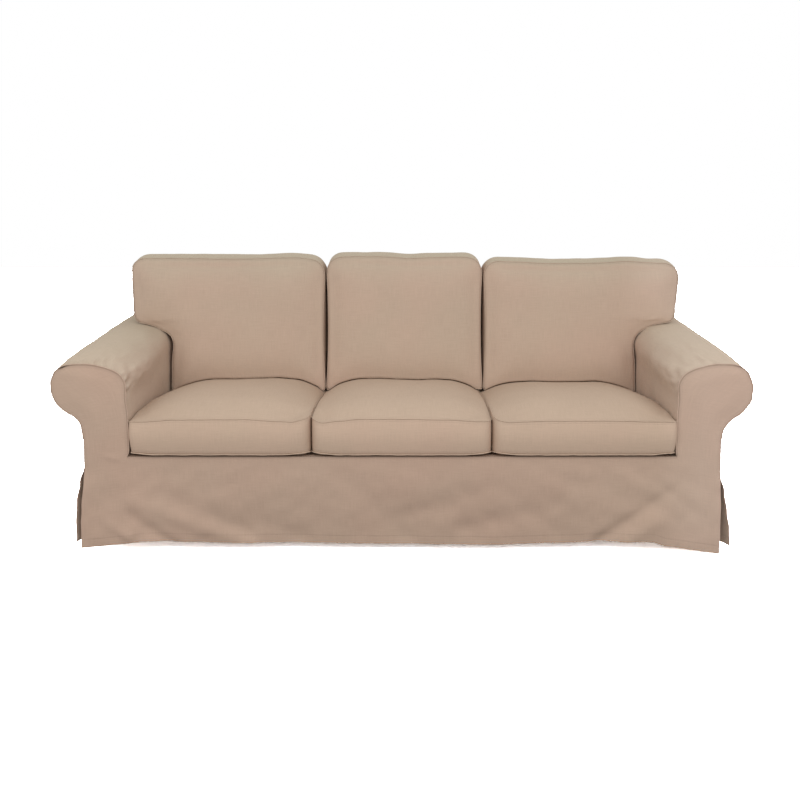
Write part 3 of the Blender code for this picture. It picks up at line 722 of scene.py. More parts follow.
def arm_place(y, index, relief=0.0, side=None):
    """A place on an arm's outer face, as (out, up), with the way it faces."""
    point = ARM_CURVE[index]
    run = ARM_CURVE[min(index + 1, ARM_STEPS)] - ARM_CURVE[max(index - 1, 0)]
    normal = Vector((-run.y, run.x)).normalized()
    swell = ARM_PAD * (1.0 - math.exp(-max(y, 0.0) / ARM_PAD_REACH))
    strength = swell * smoothstep(point.y, 0.48, 0.58)
    lift = ARM_RISE * y / REAR_Y * smoothstep(point.y, DECK_FRONT_Z, 0.50)
    aside = 0.0
    if side:
        aside = along(ARM_TRIM[side], point.y) * smoothstep(point.x, 0.10, 0.135)
    return point + normal * (strength + relief) + Vector((aside, lift)), normal


def inner_bulge(z, side):
    """How far the arm's padding swells towards the seat, low down and at its upper corner."""
    low = smoothstep(z, 0.300, 0.345) * falling(z, 0.450, 0.530)
    corner = smoothstep(z, 0.480, 0.560) * falling(z, 0.575, 0.606)
    return ARM_LOW_SWELL[side] * low + ARM_CORNER_SWELL * corner


def kick(z):
    """How far the facings and the rear panel stand out, from the top of the slits down."""
    return KICK * falling(z, 0.0, SLIT_TOP_Z)


def skirt_fold(x, z):
    """How far the front skirt and the facings beside it stand forward of their plane."""
    middle_drag, corner_drag, crumple = 0.0010, 0.0022, 0.0010
    drag = lerp(middle_drag, corner_drag, smoothstep(abs(x), 0.25, 0.80))
    drift = -abs(x) * 0.80 + z * 0.55
    across = abs(x) * 0.55 + z * 0.80
    total = drag * ripple((drift * 0.35, across, x * 0.2), 0.052, 6.0)
    total += crumple * ripple((x, z, 0.0), 0.040, 12.0)
    for start, end, height, half_width in SKIRT_FOLDS:
        start, end = Vector(start), Vector(end)
        run = end - start
        part = (Vector((x, z)) - start).dot(run) / run.length_squared
        nearest = start + run * min(max(part, 0.0), 1.0)
        away = (Vector((x, z)) - nearest).length / half_width
        grow = 0.35 + 0.65 * min(max(part, 0.0), 1.0)
        total += height * grow * math.exp(-away * away)
    return total * falling(z, DECK_FRONT_Z - 0.06, DECK_FRONT_Z - 0.004)


def arm_facing(side, front):
    """The scroll-shaped facing at one end of an arm, with the skirt below it."""
    sign = SIGN[side]
    end_y, way = (0.0, -1.0) if front else (REAR_Y, 1.0)
    body = ARM_BODY[side]
    half = ARM_STEPS // 2
    pairs = [(arm_place(end_y, index)[0], arm_place(end_y, ARM_STEPS - index, 0.0, side)[0])
             for index in range(half)]
    low_inner = along(FRONT_HEM, sign * SEAT_HALF) if front else HEM_Z
    low_outer = along(FRONT_HEM, sign * (SEAT_HALF + body)) if front else HEM_Z
    skirt_rows = 44
    levels = []
    for row in range(skirt_rows, 0, -1):
        inner_z = lerp(pairs[0][0].y, low_inner, row / skirt_rows)
        outer_z = lerp(pairs[0][1].y, low_outer, row / skirt_rows)
        out = along(CORNERS[side]["facing"], outer_z) if front else body
        levels.append((Vector((0.0, inner_z)), Vector((out, outer_z))))
    levels += pairs
    for inner, _ in levels:
        inner.x -= inner_bulge(inner.y, side) if front else 0.0
    rows = len(levels) - 1
    scroll = Vector((0.115, 0.520 + (0.0 if front else ARM_RISE)))
    padding, crumple, crease_height = 0.0045, 0.0014, 0.0022

    def place(column, row):
        inner, outer = levels[round(row * rows)]
        spot = inner.lerp(outer, column)
        across = sign * (SEAT_HALF + spot.x)
        stand = kick(spot.y) + (skirt_fold(across, spot.y) if front else 0.0)
        edge = min((spot - inner).length, (outer - spot).length)
        pillow = padding * smoothstep(edge, 0.0, 0.06) * falling(
            (spot - scroll).length, 0.05, 0.24)
        upper = smoothstep(spot.y, 0.24, 0.40)
        stand += pillow + crumple * upper * ripple((across, spot.y, 2.0 * way), 0.09, 5.0)
        if front and side == "left":
            crease = 0.3175 + 0.21 * (spot.x - 0.06)
            stand += crease_height * math.exp(-((spot.y - crease) / 0.006) ** 2) * smoothstep(
                spot.x, 0.010, 0.035) * falling(spot.x, 0.060, 0.085)
        return at(across, end_y + way * (CLOTH + stand), spot.y)

    name = ("arm_front_" if front else "arm_back_") + side
    piece, cut = cut_panel(name + "_cloth", 26, rows, place, (0.0, way, 0.0),
                           (SEAM_STITCH, SEAM_STITCH, HEM_STITCH, SEAM_STITCH),
                           plain_rows=skirt_rows * 3 // 4, upright=True)
    path, outs = [], []
    low_rows, foot_z, stand = (12, DECK_FRONT_Z, 0.0013) if front else (60, HEM_Z, 0.0030)
    for index in range(-low_rows, ARM_STEPS + 1):
        spot, normal = arm_place(end_y, max(index, 0), 0.0, side)
        if index < 0:
            spot = Vector((0.0, lerp(foot_z, spot.y, (index + low_rows) / low_rows)))
        if front and index < ARM_STEPS // 3:
            spot.x -= inner_bulge(spot.y, side)
        depth = end_y + way * (stand if front else stand + kick(spot.y))
        path.append(at(sign * (SEAT_HALF + spot.x), depth, spot.y))
        outs.append(Vector((sign * normal.x, way * 0.45, normal.y)).normalized())
    lip = seam_lip(name + "_seam", path, outs, *COVER_LIP, COVER_CANVAS, "cover_cloth")
    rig.replaces(piece, name)
    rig.sheet(piece, held="draped", rests_on=["arm_wrap_" + side], with_pieces=[lip], **cut)


def arm_over(side):
    """Inside of an arm, over its top and round its roll, in one length."""
    sign = SIGN[side]
    tuck, tuck_rows = 0.020, 16
    rows = ARM_STEPS + tuck_rows
    fine, rear_gathers, softness = 0.0010, 0.0012, 0.0022

    def place(column, row):
        depth = lerp(GAP, REAR_Y - GAP, column ** 1.3)
        index = round(row * rows) - tuck_rows
        arc = max(index, 0) / ARM_STEPS
        top_inner = smoothstep(arc, 0.03, 0.14) * falling(arc, 0.36, 0.60)
        reach = lerp(0.040, 0.100, top_inner)
        gathers = ripple((arc * 1.05, depth * 0.40, sign), 0.026, 2.0)
        soft = ripple((arc * 1.05, depth, 0.5 * sign), 0.080, 7.0)
        relief = (ARM_GATHERS[side] * top_inner + fine) * gathers * math.exp(-depth / reach)
        relief += rear_gathers * gathers * math.exp(-(REAR_Y - depth) / 0.05)
        relief += softness * soft * smoothstep(depth, 0.0, 0.06)
        relief *= smoothstep(depth, 0.0, 0.010)
        spot, _ = arm_place(depth, max(index, 0), relief, side)
        if index < 0:
            low = deck_z(depth) - tuck
            spot = Vector((spot.x, lerp(low, spot.y, (index + tuck_rows) / tuck_rows)))
        if index < ARM_STEPS // 3:
            spot.x -= inner_bulge(spot.y, side) * falling(depth, 0.10, 0.45)
            below_top = falling(spot.y, 0.50, 0.60)
            spot.x -= ARM_SWELL[side] * smoothstep(depth, 0.15, 0.45) * below_top
        return at(sign * (SEAT_HALF + spot.x), depth, spot.y)

    name = "arm_wrap_" + side
    # The length over the arm is cut from the brighter copy of the canvas: painted light.
    piece, cut = cut_panel(name + "_cloth", 110, rows, place, (0.0, 0.0, 1.0),
                           (SEAM_STITCH, SEAM_STITCH, None, SEAM_STITCH), mat=ARM_BRIGHTENED_CANVAS)
    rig.replaces(piece, name)
    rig.sheet(piece, held="draped", rests_on=["arm_front_%s_cloth" % side], **cut)


def arm_outside(side):
    """Outside of an arm, from under the roll to the hem, open at its lower corners."""
    sign = SIGN[side]
    hollow, swing, hem_wave, crumple = 0.006, 0.005, 0.004, 0.0018
    slit_z, body = CORNERS[side]["side"][-1][0], ARM_BODY[side]

    def place(column, row):
        depth = lerp(GAP, REAR_Y - GAP, column)
        top, _ = arm_place(depth, ARM_STEPS, 0.0, side)
        seam = top.y - GAP
        lift = CORNERS[side]["hem_lift"] * falling(depth, 0.0, 0.30)
        up = lerp(HEM_Z + lift + hem_wave * math.sin(9.0 * depth), seam, row)
        loose = falling(up, HEM_Z, slit_z)
        flare = along(CORNERS[side]["side"], up) - body
        near_front = falling(depth, 0.0, 0.10)
        near_back = smoothstep(depth, 0.62, REAR_Y)
        rest = lerp(body - hollow, top.x, smoothstep(up, 0.25, seam))
        rest += hollow * max(loose, near_front * falling(up, slit_z, seam))
        wave = swing * loose * math.sin(14.0 * depth + 1.0) * smoothstep(depth, 0.0, 0.10)
        out = rest + flare * (near_front + 0.5 * near_back) + wave
        out += crumple * ripple((depth, up * 0.4, sign), 0.10, 4.0) * (1.0 - row)
        return at(sign * (SEAT_HALF + out), depth, up)

    name = "arm_side_" + side
    piece, cut = cut_panel(name + "_cloth", 96, 42, place, (sign, 0.0, 0.0),
                           (SEAM_STITCH, SEAM_STITCH, HEM_STITCH, SEAM_STITCH), plain_rows=26)
    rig.replaces(piece, name)
    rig.sheet(piece, held="hung", rests_on=["arm_wrap_%s_cloth" % side], **cut)


for side in ("left", "right"):
    arm_over(side)
    arm_facing(side, True)
    arm_facing(side, False)
    arm_outside(side)

# ---------------------------------------------------------------- the skirt and the deck
# The skirt hangs from the front rail in slack diagonal folds that start at its corners, and
# its hem is a little uneven. The deck, behind it, is the panel that the seat cushions lie on.

SKIRT_SAG = 0.014          # how far its middle hangs back from the front rail at the hem


def skirt_place(column, row):
    x = lerp(-1.0, 1.0, column) * SEAT_HALF
    z = lerp(along(FRONT_HEM, x), DECK_FRONT_Z, row)
    low = falling(z, 0.0, SLIT_TOP_Z)
    stand = lerp(-SKIRT_SAG, KICK, smoothstep(abs(x), 0.42, 0.80))
    return at(x, -CLOTH - stand * low - skirt_fold(x, z), z)


skirt, cut = cut_panel("front_skirt_cloth", 236, 42, skirt_place, (0.0, -1.0, 0.0),
                       (None, None, HEM_STITCH, SEAM_STITCH))
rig.replaces(skirt, "front_skirt")
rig.sheet(skirt, held="hung", rests_on=["seat_deck_cloth"], **cut)


def inside_back_y(z):
    """Front face of the inside back at a height."""
    lean = 0.105
    return DECK_BACK_Y + lean * (z - DECK_BACK_Z)


def deck_place(column, row):
    x = lerp(-1.0, 1.0, column) * (SEAT_HALF - GAP)
    y = lerp(GAP, inside_back_y(deck_z(DECK_BACK_Y)) - GAP, row)
    return at(x, y, deck_z(y))


deck, cut = cut_panel("seat_deck_cloth", 60, 24, deck_place, (0.0, 0.0, 1.0),
                      (SEAM_STITCH, SEAM_STITCH, SEAM_STITCH, SEAM_STITCH))
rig.replaces(deck, "seat_deck")
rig.sheet(deck, held="stretched", rests_on=["front_skirt_cloth"], **cut)

# ---------------------------------------------------------------- the back
# Front, rear and top of the sofa's back: two panels that come out over the arms, and a band
# between them round the top. The rear panel goes down to the hem and hangs almost flat.

BACK_TOP_Z = 0.810
BACK_HALF = 0.962          # half its width, where it comes out over the arms
BACK_CORNER = 0.060        # radius of its upper corners
CLEAR = 0.002              # above the cloth of the arms


def arm_top(out, y):
    """Height of the upper face of an arm, out from its inner face, at a depth."""
    last, _ = arm_place(y, 0)
    for index in range(1, ARM_STEPS + 1):
        spot, _ = arm_place(y, index)
        if last.x <= out < spot.x:
            return lerp(last.y, spot.y, (out - last.x) / (spot.x - last.x))
        last = spot
    return last.y


def back_corner(steps):
    """Round upper corner of the back, side to top, as (x, z)."""
    return [Vector((BACK_HALF - BACK_CORNER * (1.0 - math.cos(turn)),
                    BACK_TOP_Z - BACK_CORNER * (1.0 - math.sin(turn))))
            for turn in (step / steps * math.pi / 2.0 for step in range(steps + 1))]


def resampled(points, count):
    """The same line with count + 1 places, evenly spaced along it."""
    runs = [0.0]
    for start, end in zip(points, points[1:]):
        runs.append(runs[-1] + (end - start).length)
    result, index = [], 0
    for step in range(count + 1):
        target = runs[-1] * step / count
        while index < len(points) - 2 and runs[index + 1] < target:
            index += 1
        part = (target - runs[index]) / (runs[index + 1] - runs[index])
        result.append(points[index].lerp(points[index + 1], part))
    return result


def back_panel(name, depth_at, bottom_z, section_y, facing, low_stitch):
    """A panel across the back: between the arms below, out over the arms above."""
    reach = BACK_HALF - SEAT_HALF
    lower = [Vector((0.0, bottom_z)), Vector((SEAT_HALF, bottom_z)), Vector((SEAT_HALF, 0.45))]
    for index in range(0, ARM_STEPS + 1, 2):
        spot, _ = arm_place(section_y, index)
        if spot.x < reach - 0.004 and spot.y > 0.47:
            lower.append(Vector((SEAT_HALF + spot.x, spot.y)))
    lower.append(Vector((BACK_HALF, arm_top(reach, section_y) + CLEAR / 2.0)))
    half_columns = 88
    lower = resampled(lower, half_columns)
    upper = resampled([Vector((0.0, BACK_TOP_Z))] + back_corner(12)[::-1], half_columns)
    rows = 44

    def place(column, row):
        index = round(column * 2 * half_columns) - half_columns
        spot = lower[abs(index)].lerp(upper[abs(index)], row)
        x = math.copysign(spot.x, index)
        return at(x, depth_at(x, spot.y), spot.y)

    piece, cut = cut_panel(name + "_cloth", 2 * half_columns, rows, place, facing,
                           (SEAM_STITCH, SEAM_STITCH, low_stitch, SEAM_STITCH), upright=True)
    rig.replaces(piece, name)
    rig.sheet(piece, held="draped", rests_on=["back_band_cloth"], **cut)


def back_band():
    """The band over the back: up one side, across the top and down the other side."""
    columns, rows = 14, 190
    reach = BACK_HALF - SEAT_HALF
    foot_z = arm_top(reach, inside_back_y(BACK_TOP_Z)) + CLEAR
    bend_z = BACK_TOP_Z - BACK_CORNER
    half = [Vector((BACK_HALF, foot_z))] + back_corner(12) + [Vector((0.0, BACK_TOP_Z))]
    path = resampled(half + [Vector((-point.x, point.y)) for point in reversed(half[:-1])],
                     rows)

    def place(column, row):
        spot = path[round(row * rows)]
        depth = lerp(inside_back_y(spot.y) + CLOTH + GAP, REAR_Y - GAP, column)
        up = spot.y
        if up < bend_z:
            part = (up - foot_z) / (bend_z - foot_z)
            up = lerp(arm_top(reach, depth) + CLEAR, bend_z, part)
        return at(spot.x, depth, up)

    piece, cut = cut_panel("back_band_cloth", columns, rows, place, (0.0, 0.0, 1.0),
                           (SEAM_STITCH, SEAM_STITCH, None, None))
    lips = []
    for end, depth_of in (("front", lambda z: inside_back_y(z) + LIP_STAND),
                          ("rear", lambda z: REAR_Y + LIP_STAND)):
        line, outs = [], []
        for spot in path:
            if spot.y > arm_top(reach, REAR_Y) + 0.004:
                side = smoothstep(abs(spot.x), BACK_HALF - BACK_CORNER, BACK_HALF)
                line.append(at(spot.x, depth_of(spot.y), spot.y))
                outs.append(Vector((math.copysign(side, spot.x), 0.0, 1.0 - side)).normalized())
        lips.append(seam_lip("back_%s_seam" % end, line, outs, *COVER_LIP, COVER_CANVAS,
                             "cover_cloth"))
    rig.replaces(piece, "back_band")
    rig.sheet(piece, held="draped", rests_on=["arm_wrap_left_cloth", "arm_wrap_right_cloth"],
             with_pieces=lips, **cut)


def rear_y(x, z):
    """Outer face of the rear panel: loose, with soft folds that die away upwards."""
    fold_height, drag_height = 0.0085, 0.0034
    low = falling(z, 0.0, 0.62)
    inward = falling(abs(x), SEAT_HALF - 0.10, SEAT_HALF)
    folds = fold_height * low * ripple((x, z * 0.18, 3.0), 0.120, 8.0)
    drag = drag_height * ripple((abs(x) * 0.6 + z * 0.8, (abs(x) - z) * 0.25, 5.0 + x), 0.060, 3.0)
    sewn = smoothstep(BACK_TOP_Z - z, 0.0, 0.08)
    return REAR_Y + CLOTH + kick(z) + LIP_STAND + (folds + drag) * inward * sewn


back_band()
back_panel("inside_back", lambda x, z: inside_back_y(z), DECK_BACK_Z - 0.010,
           inside_back_y(0.62), (0.0, -1.0, 0.0), None)
back_panel("outside_back", rear_y, HEM_Z, REAR_Y, (0.0, 1.0, 0.0), HEM_STITCH)

# ---------------------------------------------------------------- the seat cushions
# Three boxed cushions, each a filled bag of canvas: a top and a bottom panel with a boxing
# strip between them, sewn with a lip that shows at both edges. Pressed in from the front.

SEATS = {"left": (-0.8455, -0.2840), "middle": (-0.2818, 0.2792), "right": (0.2814, 0.8500)}
SEAT_FRONT_RADII = {"left": (0.018, 0.042), "middle": (0.042, 0.042), "right": (0.042, 0.014)}
SEAT_REAR_RADIUS = 0.045
SEAT_FRONT_Y, SEAT_BACK_Y = -0.013, 0.655
SEAT_SEAM_UP = 0.112       # the upper seam above the deck
SEAT_SIDE_SWELL = 0.011    # rise of the seam in the middle of its sides
SEAT_CROWN = 0.052         # of the top above its seam
SEAT_FRONT_RISE = 0.009    # of its padding behind the front edge
SEAT_FRONT_SWELL = 0.008   # of the boxing in front
SEAT_DRAWN_IN = 0.004      # how far the lower front corners beside the arms are drawn in
# How their tops wander along the front edge, and under the back cushions, across the sofa.
SEAT_FRONT_WAVE = {
    "left": ((-0.840, 0.0), (-0.795, 0.001), (-0.700, 0.007), (-0.475, 0.008), (-0.400, 0.003),
             (-0.340, 0.0), (-0.300, 0.008), (-0.284, 0.015)),
    "middle": ((-0.282, 0.008), (-0.247, -0.003), (-0.197, 0.003), (-0.130, 0.009),
               (0.040, 0.009), (0.136, 0.007), (0.234, 0.002), (0.279, 0.0)),
    "right": ((0.281, 0.015), (0.296, 0.004), (0.327, -0.001), (0.450, 0.003), (0.600, 0.004),
              (0.840, 0.0)),
}
SEAT_REAR_WAVE = {
    "left": ((-0.800, 0.003), (-0.700, 0.006), (-0.600, 0.004), (-0.520, 0.007),
             (-0.430, 0.011), (-0.370, 0.014), (-0.310, 0.010), (-0.285, 0.0)),
    "middle": ((-0.280, 0.0), (-0.220, 0.010), (-0.170, 0.011), (-0.100, 0.007), (0.0, 0.003),
               (0.060, 0.001), (0.140, 0.007), (0.190, 0.011), (0.240, 0.011), (0.279, 0.006)),
    "right": ((0.282, -0.003), (0.360, 0.0), (0.450, -0.003), (0.560, -0.007), (0.640, -0.006),
              (0.720, 0.0)),
}
SEAT_FOOT, SEAT_CORNER_LIFT = 0.008, 0.006          # lower seam above the deck, and its rise
SEAT_LIPS = ((0.0036, 0.0034), (0.0018, 0.0020))     # lower and upper seam: proud, thick
# Painted shade on the seat cushions' tops: their third colour, about a tenth darker, takes over from 0.31 to 0.36 m
# above the floor. The crease of their seams takes only a faint painted shade.
SEAT_CANVAS = canvas("beige canvas of the seat cushions", (0.528, 0.397, 0.296),
                     (0.542, 0.389, 0.294), 0.08, (0.469, 0.357, 0.268), (-0.50, -0.45))
sewn_cushions = []


def rounded_sides(corners, counts):
    """The four sides of an outline whose corners are rounded, as evenly spaced places.

    corners holds (across, up, radius, whether a side ends there), anticlockwise from the
    lower left. The sides are the lower, right, upper and left one, and run right or up.
    """
    arc_steps = 12
    places, ends = [], []
    for index, (x, z, radius, main) in enumerate(corners):
        corner = Vector((x, z))
        before = Vector(corners[index - 1][:2])
        after = Vector(corners[(index + 1) % len(corners)][:2])
        arrive, leave = (corner - before).normalized(), (after - corner).normalized()
        reach = radius * math.tan(arrive.angle(leave) / 2.0)
        start, end = corner - arrive * reach, corner + leave * reach
        if main:
            ends.append(len(places) + (arc_steps // 2 if radius else 0))
        for step in range(arc_steps + 1 if radius else 1):
            part = step / arc_steps
            places.append(start.lerp(corner, part).lerp(corner.lerp(end, part), part))
    sides = []
    for number, start in enumerate(ends):
        stop = ends[(number + 1) % 4]
        run = places[start:stop + 1] if stop > start else places[start:] + places[:stop + 1]
        side = resampled(run, counts[number % 2])
        sides.append(side[::-1] if number > 1 else side)
    return sides


def patch(sides, column, row):
    """A place inside four sides, from its column and row."""
    low, right, top, left = sides
    u, v = column / (len(low) - 1), row / (len(left) - 1)
    between = low[column].lerp(top[column], v) + left[row].lerp(right[row], u)
    return between - low[0].lerp(low[-1], u).lerp(top[0].lerp(top[-1], u), v)


def outer_normal(sides, column, row):
    """Outward normal of the outline at a place on its edge."""
    low, right, top, left = sides
    last_column, last_row = len(low) - 1, len(left) - 1
    ring = low[:-1] + right[:-1] + top[:0:-1] + left[:0:-1]
    if row == 0:
        index = column
    elif column == last_column:
        index = last_column + row
    elif row == last_row:
        index = last_column + last_row + last_column - column
    else:
        index = 2 * last_column + 2 * last_row - row
    run = ring[(index + 1) % len(ring)] - ring[index % len(ring) - 1]
    return Vector((run.y, -run.x)).normalized()


def boxed_cushion(sides, layers, place):
    """A box of quads whose every vertex is put where place(column, row, layer) says.

    Returns the bmesh, its vertices by (column, row, layer) and both seam rings.
    """
    columns, rows = len(sides[0]) - 1, len(sides[3]) - 1
    bm = bmesh.new()
    bm.verts.layers.float.new("held")
    bm.verts.layers.float.new("slack")
    bmesh.ops.create_cube(bm, size=2.0)
    for axis, count in enumerate((columns, rows, layers)):
        crossing = [edge for edge in bm.edges
                    if abs((edge.verts[0].co - edge.verts[1].co)[axis]) > 0.001]
        bmesh.ops.subdivide_edges(bm, edges=crossing, cuts=count - 1, use_grid_fill=True)
    grid = {}
    for vert in bm.verts:
        key = tuple(round((vert.co[axis] + 1.0) / 2.0 * count)
                    for axis, count in enumerate((columns, rows, layers)))
        grid[key] = vert
    for (column, row, layer), vert in grid.items():
        vert.co = place(column, row, layer)
    bmesh.ops.recalc_face_normals(bm, faces=bm.faces)
    ring = [(column, 0) for column in range(columns)]
    ring += [(columns, row) for row in range(rows)]
    ring += [(column, rows) for column in range(columns, 0, -1)]
    ring += [(0, row) for row in range(rows, 0, -1)]
    bm.verts.ensure_lookup_table()
    seams = [[grid[column, row, layer].index for column, row in ring]
             for layer in (0, layers)]
    return bm, grid, seams


def seat_top(name, x, y):
    """Top of a seat cushion above its upper seam, highest in the middle."""
    low, high = SEATS[name]
    across = abs(2.0 * x - low - high) / (high - low)
    depth = abs(2.0 * y - SEAT_FRONT_Y - SEAT_BACK_Y) / (SEAT_BACK_Y - SEAT_FRONT_Y)
    edge = min((across ** 4 + depth ** 4) ** 0.25, 1.0)
    arch = SEAT_SIDE_SWELL * (1.0 - min(depth, 1.0) ** 2)
    arch += SEAT_FRONT_RISE * smoothstep(y, 0.0, 0.11) * falling(y, 0.20, 0.44)
    arch += along(SEAT_FRONT_WAVE[name], x) * falling(y, 0.0, 0.20)
    arch += along(SEAT_REAR_WAVE[name], x) * smoothstep(y, 0.15, 0.45)
    return deck_z(y) + SEAT_SEAM_UP + arch + SEAT_CROWN * (1.0 - edge ** 3)


def front_corner(name, spot):
    """One at a front corner of a seat cushion, and nothing 90 mm away from it."""
    away = min((spot - Vector((end, SEAT_FRONT_Y))).length for end in SEATS[name])
    return falling(away, 0.0, 0.090)


def add_cushion(name, box, still_layer, side_hold, from_edge, mat, lip_sizes):
    """Make the cushion's object and note what its puffing and sewing need.

    In the puffing a place is held most at a seam, less away from it, and wholly on the still
    layer. from_edge(column, row) is how far a place of the free face is from the seam.
    """
    seam_hold, face_hold = 0.92, 0.16
    bm, grid, seams = box
    columns, rows, layers = max(grid)
    layer_step = 0.010
    held, slack = bm.verts.layers.float["held"], bm.verts.layers.float["slack"]
    for (column, row, layer), vert in grid.items():
        if layer == still_layer:
            free, away = 1.0, FAR_OFF
        elif column in (0, columns) or row in (0, rows):
            free, away = side_hold, min(layer, layers - layer) * layer_step
        else:
            free, away = face_hold, from_edge(column, row)
        vert[held] = lerp(seam_hold, free, smoothstep(away, 0.0, 0.022))
        vert[slack] = falling(away, 0.025, 0.075)
    piece = finish_piece(name, bm, mat, "cushion_cloth")
    sewn_cushions.append((piece, list(zip(seams, lip_sizes))))
    return piece


def seat_cushion(side):
    low, high = SEATS[side]
    left_radius, right_radius = SEAT_FRONT_RADII[side]
    corners = ((low, SEAT_FRONT_Y, left_radius, True), (high, SEAT_FRONT_Y, right_radius, True),
               (high, SEAT_BACK_Y, SEAT_REAR_RADIUS, True),
               (low, SEAT_BACK_Y, SEAT_REAR_RADIUS, True))
    columns, rows, layers = 58, 68, 11
    sides = rounded_sides(corners, (columns, rows))

    def place(column, row, layer):
        spot = patch(sides, column, row)
        part = layer / layers
        drawn = SEAT_DRAWN_IN * (1.0 - part) * front_corner(side, spot)
        spot.x -= math.copysign(drawn * smoothstep(abs(spot.x), 0.70, 0.80), spot.x)
        if column in (0, columns) or row in (0, rows):
            normal = outer_normal(sides, column, row)
            front = max(0.0, -normal.y) ** 2
            belly = math.sin(math.pi * part)
            beside_arm = smoothstep(abs(spot.x), 0.70, 0.84)
            sideways = lerp(0.0004, 0.0030, beside_arm) * abs(normal.x)
            spot = spot + normal * belly * (SEAT_FRONT_SWELL * front + sideways)
            base = deck_z(spot.y) + GAP
            top = seat_top(side, spot.x, spot.y)
            corner = front_corner(side, spot)
            foot = base + SEAT_FOOT + SEAT_CORNER_LIFT * corner
            return at(spot.x, spot.y, lerp(foot, top, part))
        edge = max(abs(2.0 * column / columns - 1.0), abs(2.0 * row / rows - 1.0))
        if layer == 0:
            lift = SEAT_FOOT + SEAT_CORNER_LIFT * front_corner(side, spot)
            return at(spot.x, spot.y, deck_z(spot.y) + GAP + lift * smoothstep(
                edge, 0.90, 1.0))
        return at(spot.x, spot.y, seat_top(side, spot.x, spot.y))

    def from_edge(column, row):
        return min(column, columns - column, row, rows - row) * 0.0095

    piece = add_cushion("seat_cushion_%s_bag" % side, boxed_cushion(sides, layers, place), 0,
                        0.50, from_edge, SEAT_CANVAS, SEAT_LIPS)
    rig.replaces(piece, "seat_cushion_" + side)
    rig.padded(piece, fill=0.75)


for side in SEATS:
    seat_cushion(side)

# ---------------------------------------------------------------- the back cushions
# Three boxed cushions that stand on the seat and lean back. The outer ones are cut with an
# ear that lies over the arm, and all are softer than the seat, with slack at their feet.

BACK_FOOT_Y, BACK_FOOT_Z = 0.520, 0.436             # front of their feet
BACK_FRONT_LEAN = 0.150
BACK_CORNER_Z = 0.411      # their lower corners, before the seat presses them up
BACK_BULGE, BACK_ROUND = 0.036, 0.058               # of their fronts, and how far in it rises
BACK_SINK = 0.018          # how deep its foot would stand in the seat, unless it was stopped
EAR_Y, EAR_REST = 0.600, 0.100                      # where an ear lies, and how far out
EAR_CLEAR = 0.003          # above the cloth of the arm
BACKS = {
    "left": {"side": -0.2810, "top": 0.903, "shoulder": 0.075, "aside": 0.016,
             "ear_top": (-0.9925, 0.900, 0.055), "ear_tip": (-0.9800, 0.676, 0.040),
             "wave": ((-0.90, 0.001), (-0.55, -0.002), (-0.40, 0.002), (-0.33, -0.002))},
    "middle": {"feet": (-0.2755, 0.2935), "shoulders": (-0.2760, 0.2930), "top": 0.905,
               "shoulder": 0.066,
               "wave": ((-0.22, 0.003), (-0.08, 0.003), (0.02, -0.003), (0.15, 0.001))},
    "right": {"side": 0.2975, "top": 0.888, "shoulder": 0.066, "aside": 0.006,
              "ear_top": (1.0190, 0.888, 0.060), "ear_tip": (0.9960, 0.676, 0.030),
              "wave": ((0.34, 0.004), (0.42, 0.001), (0.55, -0.005), (0.70, -0.003),
                       (0.84, 0.003), (0.94, -0.004))},
}
FOOT_RADIUS, TUCK_RADIUS = 0.030, 0.012             # lower corners, and those beside an arm
BACK_LIPS = ((0.0026, 0.0026), (0.0026, 0.0026))
# The back cushions take a strong painted shade along the crease of their seams, and the default painted light on their
# tops.
BACK_CANVAS = canvas("beige canvas of the back cushions", (0.498, 0.384, 0.293),
                     (0.514, 0.374, 0.288), 0.35)


def ear_edge(sign, beside):
    """Lower edge of an ear, up the inside of the arm and out over its top, as corners."""
    corners = []
    for index in range(0, ARM_STEPS + 1, 2):
        spot, _ = arm_place(EAR_Y, index)
        if spot.x <= EAR_REST and spot.y > 0.5:
            aside = beside * falling(spot.x, 0.0, 0.03)
            lift = EAR_CLEAR * smoothstep(spot.x, 0.0, 0.02)
            corners.append((sign * (SEAT_HALF + spot.x - aside), spot.y + lift, 0.0, False))
    return corners


def back_corners(side):
    """Corners of a back cushion's outline, anticlockwise from the lower left."""
    shape = BACKS[side]
    foot, top, shoulder = BACK_CORNER_Z, shape["top"], shape["shoulder"]
    if side == "middle":
        (foot_low, foot_high), (low, high) = shape["feet"], shape["shoulders"]
        return [(foot_low, foot, FOOT_RADIUS, True), (foot_high, foot, FOOT_RADIUS, True),
                (high, top, shoulder, True), (low, top, shoulder, True)]
    beside_arm = SEAT_HALF - shape["aside"]
    ear = [shape["ear_top"] + (True,), shape["ear_tip"] + (False,)]
    if side == "left":
        return [(-beside_arm, foot, TUCK_RADIUS, True), (shape["side"], foot, FOOT_RADIUS, True),
                (shape["side"], top, shoulder, True)] + ear + ear_edge(-1.0, shape["aside"])[::-1]
    return ([(shape["side"], foot, FOOT_RADIUS, True), (beside_arm, foot, TUCK_RADIUS, True)]
            + ear_edge(1.0, shape["aside"]) + ear[::-1] + [(shape["side"], top, shoulder, True)])


def seat_surface(x, y):
    """Height of the seat cushions under a place, or of their nearest edge beside it."""
    beside = 0.012
    spot = min(max(x, SEATS["left"][0]), SEATS["right"][1])
    return max(seat_top(name, min(max(spot, low), high), y)
               for name, (low, high) in SEATS.items() if low - beside <= spot <= high + beside)


